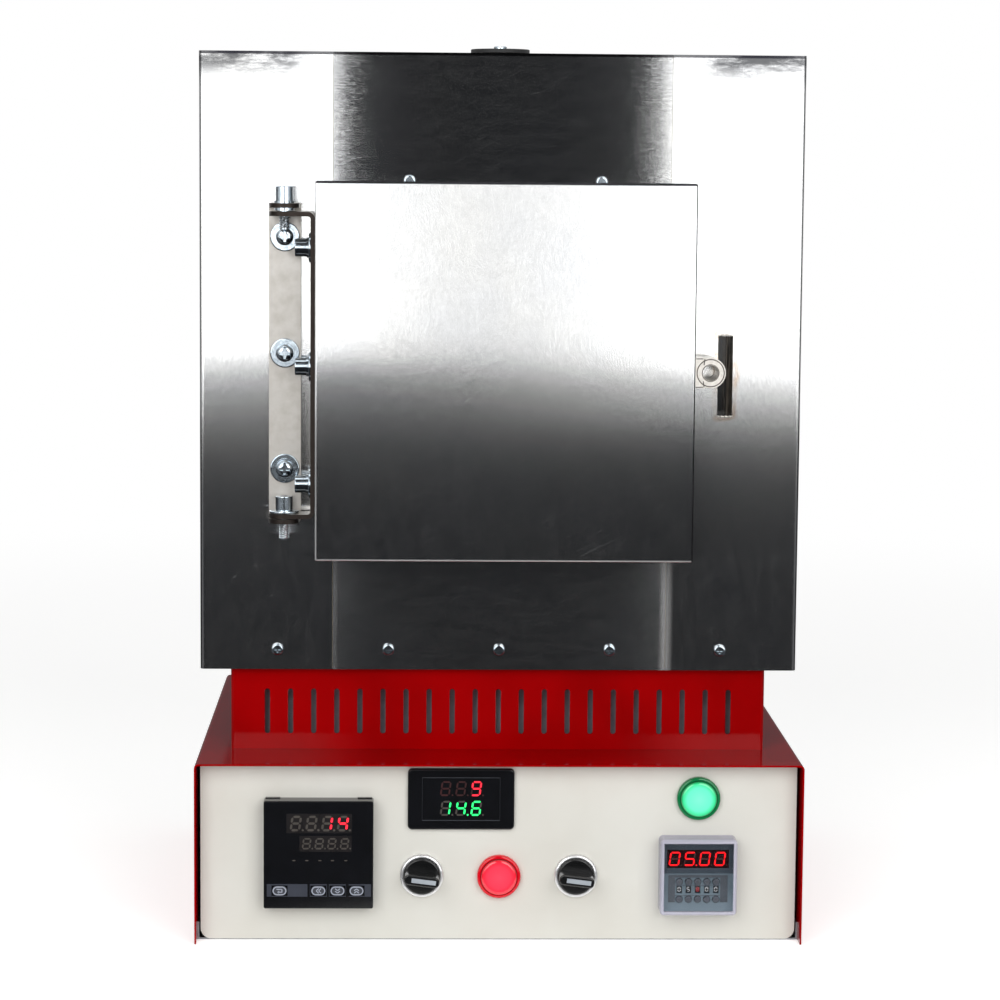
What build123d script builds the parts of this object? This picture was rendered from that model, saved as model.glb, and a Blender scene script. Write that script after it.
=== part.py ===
from build123d import *
import os

# Bench-top burnout furnace: a stainless chamber box with a side-hung door, standing on a
# vented plinth over a powder-coated base cabinet that holds the controls.
# Millimetres. +Z is up, the front faces -Y, the origin is on the floor under the middle of
# the whole object. Until the last step everything is placed with Y = 0 at the front edge
# of the base cover, X = 0 in the middle and Z = 0 on the floor.

# Sheet, gaps and running fits
sheet = 1.2
bend = 3.0
edge_soft = 0.6
move_gap = 0.3
pin_play = 0.05
through = 1.0

# Base cabinet
cover_w = 401.0
cover_h = 120.5
cover_d = 348.0
panel_recess = 12.0
panel_t = 1.5
panel_side_gap = 2.2
panel_floor_gap = 1.0
panel_corner_r = 7.0
tray_flange_h = 12.0
cover_window_margin = 45.0
back_vent_rows = 6

# Plinth
plinth_w = 359.0
plinth_front_y = 55.0
plinth_d = 287.0
plinth_h = 55.0
plinth_lip = 12.0
baffle_side = 14.0
slot_count = 21
slot_w = 3.5
slot_h = 30.5
slot_pitch = 15.5
slot_bottom = 10.3
baffle_behind = 18.0

# Chamber box
box_w = 399.0
box_h = 409.0
box_d = 300.0
box_front_y = 49.0
seam_margin = 13.5
rear_flange = 14.0
rear_panel_margin = 5.0
rear_screw_rows = 4
strip_seam = 0.3

# Fire chamber
chamber_x = 2.0
chamber_z_up = 200.8
chamber_w = 180.0
chamber_h = 180.0
chamber_d = 200.0
mouth_d = 45.0
mouth_reveal = 6.0
plate_t = 25.0
hearth_t = 12.0
groove_w = 10.0
groove_d = 12.0
groove_count = 6
groove_pitch = 28.0
groove_end = 12.0
element_r = 3.0
element_tail = 34.0

# Thermocouple and vent
thermo_up = 62.0
thermo_r = 4.0
thermo_reach = 24.0
thermo_head_r = 15.0
thermo_head_l = 18.0
vent_behind = 150.0
vent_r = 13.0
vent_wall = 2.5
vent_flange_r = 17.5
vent_stand = 5.0
vent_plate_t = 2.0
vent_cap_r = 20.7
vent_cap_t = 2.6
vent_port_r = 3.0
vent_port_ring = 6.0
vent_screw_r = 2.0
vent_head_r = 4.5
vent_head_h = 1.9
vent_slot_w = 1.4
vent_slot_d = 1.0

# Door
door_w = 249.0
door_h = 248.5
door_depth = 24.5
door_gap = 3.5
plug_margin = 4.0
plug_reach = 18.0
plug_taper = 7.5
plug_edge = 2.0
gasket_inset = 4.0
gasket_w = 12.0

# Hinge
bar_t = 3.0
leaf_bar_w = 21.0
leaf_bar_h = 210.0
leaf_rise = 4.5
hinge_left = 20.5
hinge_proud = 14.0
ear_w = 20.0
ear_step_top = 2.4
ear_step_bottom = 0.5
leaf_bend = 5.0
leaf_bolt_pitch = 76.5
leaf_bolt_drop = 6.5
side_bolt_drop = 8.1
side_bolt_pitch = 77.7
bolt_r = 3.0
bolt_head_r = 5.8
bolt_head_h = 7.6
pan_head_h = 4.2
pan_recess_d = 2.4
spring_washer_r = 6.6
spring_washer_t = 1.5
spring_split = 0.9
flat_washer_r = 9.7
flat_washer_t = 1.4
pivot_r = 3.5
pivot_root_r = 3.0
pivot_head_r = 5.7
pivot_head_h = 9.5
pivot_thread_top = 8.6
pivot_thread_bottom = 11.0
socket_r = 2.9
socket_d = 4.0

# Latch
latch_r = 10.0
latch_bore_r = 5.1
latch_len = 23.0
latch_set_back = 1.5
latch_tab_w = 6.5
latch_rise = 0.9
strike_slot_w = 10.0
strike_slot_h = 53.0
strike_x_out = 146.8
strike_drop = 2.8
strike_wall = 1.5
strike_depth = 20.0

# Case screws
screw_r = 1.7
screw_head_r = 4.0
screw_head_h = 2.4
screw_len = 5.0
front_screw_pitch = 74.0
front_screw_up = 13.6
top_screw_spread = 63.3
top_screw_over_door = 0.2
rear_screw_inset = 7.0

# Panel instruments: places from the middle of the panel and from the floor
controller_x = -119.0
controller_z = 60.0
controller_size = 72.0
controller_proud = 11.5
controller_body = 67.5
controller_body_d = 62.0
controller_window_w = 60.0
controller_window_h = 31.0
controller_window_up = 14.0
window_t = 1.0
key_w = 9.3
key_h = 6.0
key_drop = 23.9
key_set_x = -25.5
key_shift_x = 0.0
key_down_x = 12.6
key_up_x = 25.1
key_proud = 0.6
key_t = 2.0
key_travel = 0.5
meter_x = -25.3
meter_z = 95.6
meter_w = 70.4
meter_h = 41.0
meter_proud = 3.0
meter_body_w = 64.0
meter_body_h = 35.0
meter_body_d = 22.0
meter_window_w = 51.5
meter_window_h = 29.5
knob_x = 51.0
knob_z = 44.0
lamp_x = 0.0
lamp_z = 43.5
power_x = 131.8
power_z = 96.3
bezel_r = 14.4
bezel_inner_r = 12.4
bezel_proud = 4.0
bezel_floor = 1.0
stem_r = 11.0
stem_hole_play = 0.2
stem_d = 18.0
contact_block_w = 28.0
contact_block_d = 24.0
knob_r = 12.0
knob_proud = 6.0
lever_len = 23.0
lever_w = 7.0
lever_proud = 13.0
lever_tilt = -7.0
lens_r = 12.2
lens_proud = 6.0
lens_round = 2.5

# Digital timer with push-wheel switches
timer_x = 131.4
timer_z = 45.8
timer_w = 48.0
timer_h = 48.0
timer_proud = 8.5
timer_body = 44.6
timer_body_d = 48.0
timer_window_w = 40.9
timer_window_h = 12.3
timer_window_up = 11.3
wheel_count = 5
wheel_pitch = 6.08
wheel_row_drop = 9.5
wheel_r = 3.6
wheel_w = 3.6
wheel_set_back = 1.0
wheel_bore_r = 0.8
wheel_window_w = 3.6
wheel_window_h = 4.8
step_key_r = 2.2
step_key_up = 5.4
step_key_down = 6.4
step_key_l = 2.4
step_key_proud = 1.0
step_key_travel = 0.6
timer_cover_wall = 1.2
timer_cover_soft = 2.2
timer_cover_d = 15.6

# Inside the base and its back wall
relay_w = 58.0
relay_d = 45.0
relay_h = 28.0
relay_x = 90.0
relay_y = 250.0
block_w = 80.0
block_d = 24.0
block_h = 20.0
block_x = -80.0
block_posts = 6
gland_x = 120.0
gland_z = 45.0
gland_r = 12.0
gland_hex_r = 13.5
gland_nut_t = 6.0
gland_out = 20.0
gland_bore_r = 4.5

# Sizes that follow from the ones above
half_cover = cover_w / 2
half_box = box_w / 2
panel_y = panel_recess
panel_back_y = panel_y + panel_t
panel_w = cover_w - 2 * sheet - 2 * panel_side_gap
panel_top = cover_h - sheet
box_z = cover_h + plinth_h
box_top = box_z + box_h
box_back_y = box_front_y + box_d
inner_front_y = box_front_y + sheet
inner_back_y = box_back_y - sheet
inner_half = half_box - sheet
chamber_z = box_z + chamber_z_up
chamber_left = chamber_x - chamber_w / 2
chamber_right = chamber_x + chamber_w / 2
chamber_floor = chamber_z - chamber_h / 2
chamber_roof = chamber_z + chamber_h / 2
chamber_front_y = inner_front_y + mouth_d
chamber_back_y = chamber_front_y + chamber_d
board_floor = chamber_floor - hearth_t
seam_x = abs(chamber_x) + chamber_w / 2 + mouth_reveal + seam_margin
door_front_y = box_front_y - door_gap - door_depth
door_back_y = box_front_y - door_gap
door_left = chamber_x - door_w / 2
door_right = chamber_x + door_w / 2
door_bottom = chamber_z - door_h / 2
door_top = chamber_z + door_h / 2
hinge_x = door_left - hinge_left
hinge_y = box_front_y - hinge_proud
box_leaf_bottom = chamber_z - leaf_bar_h / 2 + leaf_rise
box_leaf_top = box_leaf_bottom + leaf_bar_h
door_leaf_top = box_leaf_top - bar_t - ear_step_top
door_leaf_bottom = box_leaf_bottom + bar_t + ear_step_bottom
leaf_bolts_z = [chamber_z + leaf_rise + leaf_bolt_drop + step * leaf_bolt_pitch for step in (-1, 0, 1)]
side_bolts_z = [leaf_bolts_z[1] - side_bolt_drop + step * side_bolt_pitch for step in (-1, 0, 1)]
latch_x = door_right + latch_r
latch_y = door_front_y + latch_set_back
latch_z = chamber_z + latch_rise
strike_x = chamber_x + strike_x_out
strike_z = chamber_z - strike_drop
vent_y = box_front_y + vent_behind
cap_z = box_top + vent_stand + move_gap
timer_cover_w = timer_w + 2 * timer_cover_wall + 2 * move_gap
timer_cover_h = timer_h + 2 * timer_cover_wall + 2 * move_gap
wheel_axis_y = panel_y - timer_proud + wheel_set_back + wheel_r
wheel_row_z = timer_z - wheel_row_drop
bezel_base_y = panel_y - bezel_floor
lever_front_y = panel_y - knob_proud - lever_proud
thermo_back_y = box_back_y + sheet + thermo_head_l
gland_back_y = cover_d + gland_nut_t + gland_out
object_front_y = min(lever_front_y, panel_y - move_gap - timer_cover_d, door_front_y, 0)
object_back_y = max(thermo_back_y, gland_back_y)
shift_y = -(object_front_y + object_back_y) / 2


def block(x0, x1, y0, y1, z0, z1):
    """A box from its low and high corner on each axis."""
    centre = ((x0 + x1) / 2, (y0 + y1) / 2, (z0 + z1) / 2)
    return Pos(*centre) * Box(x1 - x0, y1 - y0, z1 - z0)


def rod_x(y, z, r, x0, x1):
    """A round bar along X."""
    return Pos((x0 + x1) / 2, y, z) * Rot(0, 90, 0) * Cylinder(r, x1 - x0)


def rod_y(x, z, r, y0, y1):
    """A round bar along Y."""
    return Pos(x, (y0 + y1) / 2, z) * Rot(90, 0, 0) * Cylinder(r, y1 - y0)


def rod_z(x, y, r, z0, z1):
    """A round bar along Z."""
    return Pos(x, y, (z0 + z1) / 2) * Cylinder(r, z1 - z0)


def soften(solid, axis, radius, low=False, high=False):
    """Round the straight edges of a solid along an axis, or the outline of its end faces."""
    if low or high:
        faces = solid.faces().sort_by(axis)
        picked = faces[0] if low else faces[-1]
        return fillet(picked.edges(), radius)
    return fillet(solid.edges().filter_by(axis), radius)


def front_plate(x, z, w, h, y0, y1, corner):
    """A plate that faces the front, with rounded corners."""
    plate = block(x - w / 2, x + w / 2, y0, y1, z - h / 2, z + h / 2)
    return soften(plate, Axis.Y, corner)


def oval_bar(x, z, w, h, y0, y1):
    """A bar along Y with a stadium-shaped section, wider than it is high."""
    middle = block(x - (w - h) / 2, x + (w - h) / 2, y0, y1, z - h / 2, z + h / 2)
    left = rod_y(x - (w - h) / 2, z, h / 2, y0, y1)
    right = rod_y(x + (w - h) / 2, z, h / 2, y0, y1)
    return middle + left + right


# Base cabinet

def base_cover():
    """Inverted-U cover of folded sheet, with a window under the plinth for air and wiring."""
    outer = block(-half_cover, half_cover, 0, cover_d, 0, cover_h)
    upper = outer.edges().filter_by(Axis.Y).sort_by(Axis.Z)[-2:]
    outer = fillet(upper, bend)
    inner = block(-half_cover + sheet, half_cover - sheet, -through, cover_d + through,
                  -through, cover_h - sheet)
    upper = inner.edges().filter_by(Axis.Y).sort_by(Axis.Z)[-2:]
    inner = fillet(upper, bend - sheet)
    half_window = plinth_w / 2 - cover_window_margin
    window = block(-half_window, half_window, plinth_front_y + cover_window_margin,
                   plinth_front_y + plinth_d - cover_window_margin,
                   cover_h - 2 * sheet, cover_h + through)
    return outer - inner - window


def base_tray():
    """Floor, back wall and low side flanges that close the cover from below and behind."""
    half = half_cover - sheet
    back = cover_d - sheet
    floor = block(-half, half, panel_back_y, cover_d, 0, sheet)
    wall = block(-half, half, back, cover_d, 0, cover_h - sheet)
    wall = fillet(wall.edges().filter_by(Axis.Y).sort_by(Axis.Z)[-2:], bend - sheet)
    left = block(-half, -half + sheet, panel_back_y, cover_d, 0, tray_flange_h)
    right = block(half - sheet, half, panel_back_y, cover_d, 0, tray_flange_h)
    tray = floor + wall + left + right
    tray -= rod_y(gland_x, gland_z, gland_r + pin_play, back - through, cover_d + through)
    for row in range(back_vent_rows):
        z = cover_h / 2 + (row - (back_vent_rows - 1) / 2) * slot_pitch / 2
        tray -= oval_bar(-half / 2, z, 2 * slot_h, slot_w, back - through, cover_d + through)
    return tray


def control_panel():
    """Front plate set back inside the cover, cut out for every instrument."""
    half = panel_w / 2
    plate = block(-half, half, panel_y, panel_back_y, panel_floor_gap, panel_top)
    lower = plate.edges().filter_by(Axis.Y).sort_by(Axis.Z)[:2]
    plate = fillet(lower, panel_corner_r)
    y0 = panel_y - through
    y1 = panel_back_y + through
    plate -= front_cut(controller_x, controller_z, controller_body, controller_body, y0, y1)
    plate -= front_cut(meter_x, meter_z, meter_body_w, meter_body_h, y0, y1)
    plate -= front_cut(timer_x, timer_z, timer_body, timer_body, y0, y1)
    for x, z in round_places():
        plate -= rod_y(x, z, stem_r + stem_hole_play, y0, y1)
    return plate


def front_cut(x, z, w, h, y0, y1):
    """The cutter for an instrument body, a running gap larger than the body."""
    half_w = w / 2 + move_gap
    half_h = h / 2 + move_gap
    return block(x - half_w, x + half_w, y0, y1, z - half_h, z + half_h)


def knob_places():
    """Centres of the two selector switches."""
    return [(-knob_x, knob_z), (knob_x, knob_z)]


def lamp_places():
    """Centres of the two pilot lamps."""
    return [(lamp_x, lamp_z), (power_x, power_z)]


def round_places():
    """Centres of everything that sits in a round hole of the panel."""
    return knob_places() + lamp_places()


def cord_gland():
    """Nylon gland for the supply cord: flange outside, nut inside, dome with a bore."""
    back = cover_d
    inside = cover_d - sheet
    flange = Pos(gland_x, back + gland_nut_t / 2, gland_z) * Rot(90, 0, 0)
    flange *= extrude(RegularPolygon(gland_hex_r, 6), gland_nut_t / 2, both=True)
    dome = rod_y(gland_x, gland_z, gland_r, back + gland_nut_t, gland_back_y)
    dome = fillet(dome.edges().group_by(Axis.Y)[-1], gland_r / 3)
    stem = rod_y(gland_x, gland_z, gland_r, inside - gland_nut_t, back + gland_nut_t)
    nut = rod_y(gland_x, gland_z, gland_hex_r, inside - gland_nut_t, inside)
    bore = rod_y(gland_x, gland_z, gland_bore_r, inside - gland_nut_t - through,
                 gland_back_y + through)
    return flange + dome + stem + nut - bore


def base_electrics():
    """Solid-state relay and terminal block, both screwed to the tray floor."""
    relay = block(relay_x - relay_w / 2, relay_x + relay_w / 2, relay_y - relay_d / 2,
                  relay_y + relay_d / 2, sheet, sheet + relay_h)
    relay = fillet(relay.edges().filter_by(Axis.Z), bend)
    strip = block(block_x - block_w / 2, block_x + block_w / 2, relay_y - block_d / 2,
                  relay_y + block_d / 2, sheet, sheet + block_h)
    for index in range(block_posts):
        x = block_x + (index - (block_posts - 1) / 2) * block_w / block_posts
        strip -= rod_z(x, relay_y, screw_head_r, sheet + block_h / 2, sheet + block_h + through)
    return [relay, strip]


# Plinth

def plinth_skirt():
    """Four vented walls with inward lips at top and bottom that carry the chamber box."""
    half = plinth_w / 2
    back = plinth_front_y + plinth_d
    outer = block(-half, half, plinth_front_y, back, cover_h, box_z)
    outer = fillet(outer.edges().filter_by(Axis.Z), bend)
    inner = block(-half + sheet, half - sheet, plinth_front_y + sheet, back - sheet,
                  cover_h + sheet, box_z - sheet)
    lip = block(-half + plinth_lip, half - plinth_lip, plinth_front_y + plinth_lip,
                back - plinth_lip, cover_h - through, box_z + through)
    skirt = outer - inner - lip
    for y0 in (plinth_front_y - through, back - sheet - through):
        for index in range(slot_count):
            x = (index - (slot_count - 1) / 2) * slot_pitch
            skirt -= plinth_slot(x, y0, y0 + sheet + 2 * through)
    return skirt


def plinth_slot(x, y0, y1):
    """One round-ended upright vent slot."""
    low = cover_h + slot_bottom + slot_w / 2
    high = cover_h + slot_bottom + slot_h - slot_w / 2
    middle = block(x - slot_w / 2, x + slot_w / 2, y0, y1, low, high)
    return middle + rod_y(x, low, slot_w / 2, y0, y1) + rod_y(x, high, slot_w / 2, y0, y1)


def plinth_baffle():
    """Bare sheet behind the slots that keeps fingers and heat off the wiring."""
    half = plinth_w / 2 - baffle_side
    y = plinth_front_y + baffle_behind
    wall = block(-half, half, y, y + sheet, cover_h, box_z)
    foot = block(-half, half, y, y + plinth_lip, cover_h, cover_h + sheet)
    return wall + foot


# Chamber box

def side_shell(side):
    """One folded side: front strip, side wall and rear flange."""
    shell = block(seam_x, half_box, box_front_y, box_back_y, box_z, box_top)
    outer_edges = shell.edges().filter_by(Axis.Z).sort_by(Axis.X)[-2:]
    shell = fillet(outer_edges, bend)
    hollow = block(seam_x - through, inner_half, inner_front_y, inner_back_y,
                   box_z - through, box_top + through)
    hollow = fillet(hollow.edges().filter_by(Axis.Z).sort_by(Axis.X)[-2:], bend - sheet)
    rear = block(seam_x - through, half_box - rear_flange, inner_back_y - through,
                 box_back_y + through, box_z - through, box_top + through)
    shell = shell - hollow - rear
    shell = shell if side > 0 else mirror(shell, about=Plane.YZ)
    y0 = box_front_y - through
    y1 = inner_front_y + through
    for z in leaf_bolts_z:
        shell -= rod_y(hinge_x, z, bolt_r + pin_play, y0, y1)
    for x, z in front_screw_places():
        shell -= rod_y(x, z, screw_r + pin_play, y0, y1)
    for x, z in rear_screw_places():
        shell -= rod_y(x, z, screw_r + pin_play, inner_back_y - through, box_back_y + through)
    return shell


def left_shell():
    """Left side of the chamber box, carrying the hinge."""
    return side_shell(-1)


def right_shell():
    """Right side of the chamber box, with the latch slot and the pocket welded behind it."""
    cut = block(strike_x - strike_slot_w / 2, strike_x + strike_slot_w / 2, box_front_y - through,
                inner_front_y + through, strike_z - strike_slot_h / 2, strike_z + strike_slot_h / 2)
    return side_shell(1) - cut + strike_pocket()


def front_sheet():
    """Middle sheet of the front, with the chamber opening."""
    half = seam_x - strip_seam
    plate = block(-half, half, box_front_y, inner_front_y, box_z, box_top)
    opening_half = chamber_w / 2 + mouth_reveal
    opening_half_h = chamber_h / 2 + mouth_reveal
    plate -= block(chamber_x - opening_half, chamber_x + opening_half, box_front_y - through,
                   inner_front_y + through, chamber_z - opening_half_h, chamber_z + opening_half_h)
    for x, z in front_screw_places():
        plate -= rod_y(x, z, screw_r + pin_play, box_front_y - through, inner_front_y + through)
    return plate


def box_core(y0, y1, z0, z1):
    """A slice of the space inside the chamber box, with the corners that the folded sides leave."""
    core = block(-inner_half, inner_half, inner_front_y, inner_back_y, z0, z1)
    core = fillet(core.edges().filter_by(Axis.Z), bend - sheet)
    return core & block(-inner_half, inner_half, y0, y1, z0, z1)


def top_sheet():
    """Lid of the chamber box, pierced by the vent tube."""
    plate = box_core(inner_front_y, inner_back_y, box_top - sheet, box_top)
    return plate - rod_z(chamber_x, vent_y, vent_r + move_gap, box_top - 2 * sheet, box_top + through)


def bottom_sheet():
    """Floor of the chamber box, resting on the plinth."""
    return box_core(inner_front_y, inner_back_y, box_z, box_z + sheet)


def rear_panel():
    """Flat cover screwed to the rear flanges, pierced for the thermocouple."""
    half = half_box - rear_panel_margin
    plate = block(-half, half, box_back_y, box_back_y + sheet, box_z + rear_panel_margin,
                  box_top - rear_panel_margin)
    plate = soften(plate, Axis.Y, bend)
    for x, z in rear_screw_places():
        plate -= rod_y(x, z, screw_r + pin_play, box_back_y - through, box_back_y + 2 * sheet)
    z = chamber_z + thermo_up
    return plate - rod_y(chamber_x, z, thermo_r + move_gap, box_back_y - through,
                         box_back_y + 2 * sheet)


def front_screw_places():
    """Five screws along the foot of the front and two just over the door."""
    foot = [((step - 2) * front_screw_pitch, box_z + front_screw_up) for step in range(5)]
    head_z = door_top + top_screw_over_door
    head = [(chamber_x + side * top_screw_spread, head_z) for side in (-1, 1)]
    return foot + head


def rear_screw_places():
    """Four screws down each side of the rear panel."""
    x = half_box - rear_panel_margin - rear_screw_inset + sheet
    low = box_z + 2 * rear_panel_margin + rear_screw_inset
    high = box_top - 2 * rear_panel_margin - rear_screw_inset
    rise = (high - low) / (rear_screw_rows - 1)
    heights = [low + step * rise for step in range(rear_screw_rows)]
    return [(side * x, z) for side in (-1, 1) for z in heights]


def case_screws():
    """Pan-head screws of the front sheets and the rear panel."""
    screws = [pan_screw(x, z, box_front_y, -1) for x, z in front_screw_places()]
    screws += [pan_screw(x, z, box_back_y + sheet, 1) for x, z in rear_screw_places()]
    return screws


def pan_screw(x, z, face_y, out):
    """Pan head with a cross recess outside a face, and its shank inside it."""
    top_y = face_y + out * screw_head_h
    head = rod_y(x, z, screw_head_r, min(face_y, top_y), max(face_y, top_y))
    rim = head.edges().group_by(Axis.Y)[0 if out < 0 else -1]
    head = fillet(rim, screw_head_h / 2)
    arm = screw_head_r / 2
    thin = screw_head_r / 8
    cut_y = top_y - out * screw_head_h / 2
    y0 = min(cut_y, top_y + out)
    y1 = max(cut_y, top_y + out)
    head -= block(x - arm, x + arm, y0, y1, z - thin, z + thin)
    head -= block(x - thin, x + thin, y0, y1, z - arm, z + arm)
    tip_y = face_y - out * screw_len
    return head + rod_y(x, z, screw_r, min(face_y, tip_y), max(face_y, tip_y))


# Fire chamber

def mouth_bricks():
    """Four bricks that frame the mouth between the front sheet and the fire chamber."""
    y0 = inner_front_y
    y1 = chamber_front_y
    low = box_z + sheet
    high = box_top - sheet
    core = box_core(y0, y1, low, high)
    upper = core & block(-inner_half, inner_half, y0, y1, chamber_roof, high)
    lower = core & block(-inner_half, inner_half, y0, y1, low, chamber_floor)
    left = core & block(-inner_half, chamber_left, y0, y1, chamber_floor, chamber_roof)
    right = core & block(chamber_right, inner_half, y0, y1, chamber_floor, chamber_roof)
    right -= block(strike_x - strike_slot_w / 2 - strike_wall, strike_x + strike_slot_w / 2 + strike_wall,
                   y0 - through, y0 + strike_depth,
                   strike_z - strike_slot_h / 2 - strike_wall, strike_z + strike_slot_h / 2 + strike_wall)
    bricks = [upper, lower, left, right]
    for x, z in front_screw_places():
        hole = rod_y(x, z, screw_r + pin_play, y0 - through, box_front_y + screw_len + through)
        bricks = [brick - hole for brick in bricks]
    return bricks


def insulation_boards():
    """Fibre boards that fill the box round the chamber: sides, roof, floor and rear."""
    y0 = chamber_front_y
    low = box_z + sheet
    high = box_top - sheet
    inner_left = chamber_left - plate_t
    inner_right = chamber_right + plate_t
    core = box_core(y0, inner_back_y, low, high)
    left = core & block(-inner_half, inner_left, y0, inner_back_y, low, high)
    right = core & block(inner_right, inner_half, y0, inner_back_y, low, high)
    screw_tip_y = box_back_y + sheet - screw_len - through
    for x, z in rear_screw_places():
        hole = rod_y(x, z, screw_r + pin_play, screw_tip_y, box_back_y)
        left -= hole
        right -= hole
    roof = block(inner_left, inner_right, y0, inner_back_y, chamber_roof, high)
    roof -= rod_z(chamber_x, vent_y, vent_r + pin_play, chamber_roof - through, high + through)
    floor = block(inner_left, inner_right, y0, inner_back_y, low, board_floor)
    rear = block(inner_left, inner_right, chamber_back_y, inner_back_y, board_floor, chamber_roof)
    rear -= rod_y(chamber_x, chamber_z + thermo_up, thermo_r + pin_play,
                  chamber_back_y - through, inner_back_y + through)
    for side in (-1, 1):
        for z in element_ends():
            rear -= rod_y(element_x(side), z, element_r + move_gap, chamber_back_y - through,
                          inner_back_y + through)
    return [left, right, roof, floor, rear]


def element_x(side):
    """X of a heating element, in the middle of its grooves."""
    return chamber_x + side * (chamber_w / 2 + groove_d / 2)


def groove_heights():
    """Heights of the straight runs of an element, lowest first."""
    return [chamber_z + (step - (groove_count - 1) / 2) * groove_pitch for step in range(groove_count)]


def element_ends():
    """Heights of the two tails of an element."""
    heights = groove_heights()
    return [heights[0], heights[-1]]


def element_plates():
    """Two refractory side plates with a serpentine groove each."""
    plates = []
    for side in (-1, 1):
        inner = chamber_x + side * chamber_w / 2
        outer = chamber_x + side * (chamber_w / 2 + plate_t)
        plate = block(min(inner, outer), max(inner, outer), chamber_front_y, chamber_back_y,
                      board_floor, chamber_roof)
        deep = inner + side * groove_d
        mouth = inner - side * through
        x0 = min(deep, mouth)
        x1 = max(deep, mouth)
        heights = groove_heights()
        for index, z in enumerate(heights):
            last = index in (0, len(heights) - 1)
            y_end = chamber_back_y + (through if last else -groove_end)
            plate -= block(x0, x1, chamber_front_y + groove_end, y_end, z - groove_w / 2, z + groove_w / 2)
        for index in range(len(heights) - 1):
            y = turn_y(index)
            plate -= block(x0, x1, y - groove_w / 2, y + groove_w / 2, heights[index], heights[index + 1])
        plates.append(plate)
    return plates


def turn_y(index):
    """Y of the upright run that joins two neighbouring straight runs."""
    if index % 2 == 0:
        return chamber_front_y + groove_end + groove_w / 2
    return chamber_back_y - groove_end - groove_w / 2


def heating_elements():
    """Two serpentine elements whose tails leave through the rear board."""
    elements = []
    heights = groove_heights()
    tail_y = chamber_back_y + element_tail
    corner = groove_w / 2
    for side in (-1, 1):
        x = element_x(side)
        points = [(x, tail_y, heights[0])]
        for index in range(len(heights) - 1):
            points.append((x, turn_y(index), heights[index]))
            points.append((x, turn_y(index), heights[index + 1]))
        points.append((x, tail_y, heights[-1]))
        path = FilletPolyline(*points, radius=corner)
        start = Plane(origin=points[0], z_dir=(0, -1, 0))
        elements.append(sweep(start * Circle(element_r), path=path))
    return elements


def hearth_tile():
    """Loose refractory tile that the work stands on."""
    tile = block(chamber_left, chamber_right, chamber_front_y, chamber_back_y, board_floor,
                 chamber_floor)
    return fillet(tile.edges().group_by(Axis.Z)[-1].filter_by(Axis.X), plug_edge)


def thermocouple():
    """Ceramic-sheathed probe through the rear board, with a metal head outside."""
    z = chamber_z + thermo_up
    face = box_back_y + sheet
    tip = chamber_back_y - thermo_reach
    probe = rod_y(chamber_x, z, thermo_r, tip, face)
    probe = fillet(probe.edges().group_by(Axis.Y)[0], thermo_r / 2)
    head = rod_y(chamber_x, z, thermo_head_r, face, thermo_back_y)
    head = fillet(head.edges().group_by(Axis.Y)[-1], bend)
    return probe + head


# Vent

def vent_ports(z0, z1):
    """Cutter for the three round ports of the damper."""
    cutter = rod_z(chamber_x, vent_y + vent_port_ring, vent_port_r, z0, z1)
    axis = Axis((chamber_x, vent_y, 0), (0, 0, 1))
    return [cutter, cutter.rotate(axis, 120), cutter.rotate(axis, 240)]


def vent_tube():
    """Fume tube from the chamber roof to above the lid, with a ported top plate."""
    top = box_top + vent_stand
    tube = rod_z(chamber_x, vent_y, vent_r, chamber_roof, top)
    tube -= rod_z(chamber_x, vent_y, vent_r - vent_wall, chamber_roof - through, top - vent_plate_t)
    tube += rod_z(chamber_x, vent_y, vent_flange_r, box_top, box_top + sheet) \
        - rod_z(chamber_x, vent_y, vent_r - vent_wall, box_top - through, box_top + 2 * sheet)
    for cutter in vent_ports(top - vent_plate_t - through, top + through):
        tube -= cutter
    return tube - rod_z(chamber_x, vent_y, vent_screw_r + pin_play, top - vent_plate_t - through,
                        top + through)


def vent_cap():
    """Round damper plate that turns on the centre screw to close the ports."""
    cap = rod_z(chamber_x, vent_y, vent_cap_r, cap_z, cap_z + vent_cap_t)
    cap = fillet(cap.edges().group_by(Axis.Z)[-1], edge_soft)
    for cutter in vent_ports(cap_z - through, cap_z + vent_cap_t + through):
        cap -= cutter
    return cap - rod_z(chamber_x, vent_y, vent_screw_r + pin_play, cap_z - through,
                       cap_z + vent_cap_t + through)


def vent_screw():
    """Slotted screw that holds the damper plate on the vent tube."""
    seat = cap_z + vent_cap_t + move_gap
    top = seat + vent_head_h
    head = rod_z(chamber_x, vent_y, vent_head_r, seat, top)
    head = fillet(head.edges().group_by(Axis.Z)[-1], vent_head_h / 2)
    head -= block(chamber_x - vent_slot_w / 2, chamber_x + vent_slot_w / 2,
                  vent_y - vent_head_r - through, vent_y + vent_head_r + through,
                  top - vent_slot_d, top + through)
    shank_foot = box_top + vent_stand - vent_plate_t
    return head + rod_z(chamber_x, vent_y, vent_screw_r, shank_foot, seat)


# Door

def door_shell():
    """Folded pan, closed at the front and open at the back."""
    pan = block(door_left, door_right, door_front_y, door_back_y, door_bottom, door_top)
    pan = fillet(pan.edges().filter_by(Axis.Y), bend / 2)
    pan = fillet(pan.faces().sort_by(Axis.Y)[0].edges(), bend / 2 - edge_soft / 2)
    pan -= block(door_left + sheet, door_right - sheet, door_front_y + sheet, door_back_y + through,
                 door_bottom + sheet, door_top - sheet)
    for z in side_bolts_z:
        pan -= rod_x(hinge_y, z, bolt_r + pin_play, door_left - through, door_left + 2 * sheet)
    return pan


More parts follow.
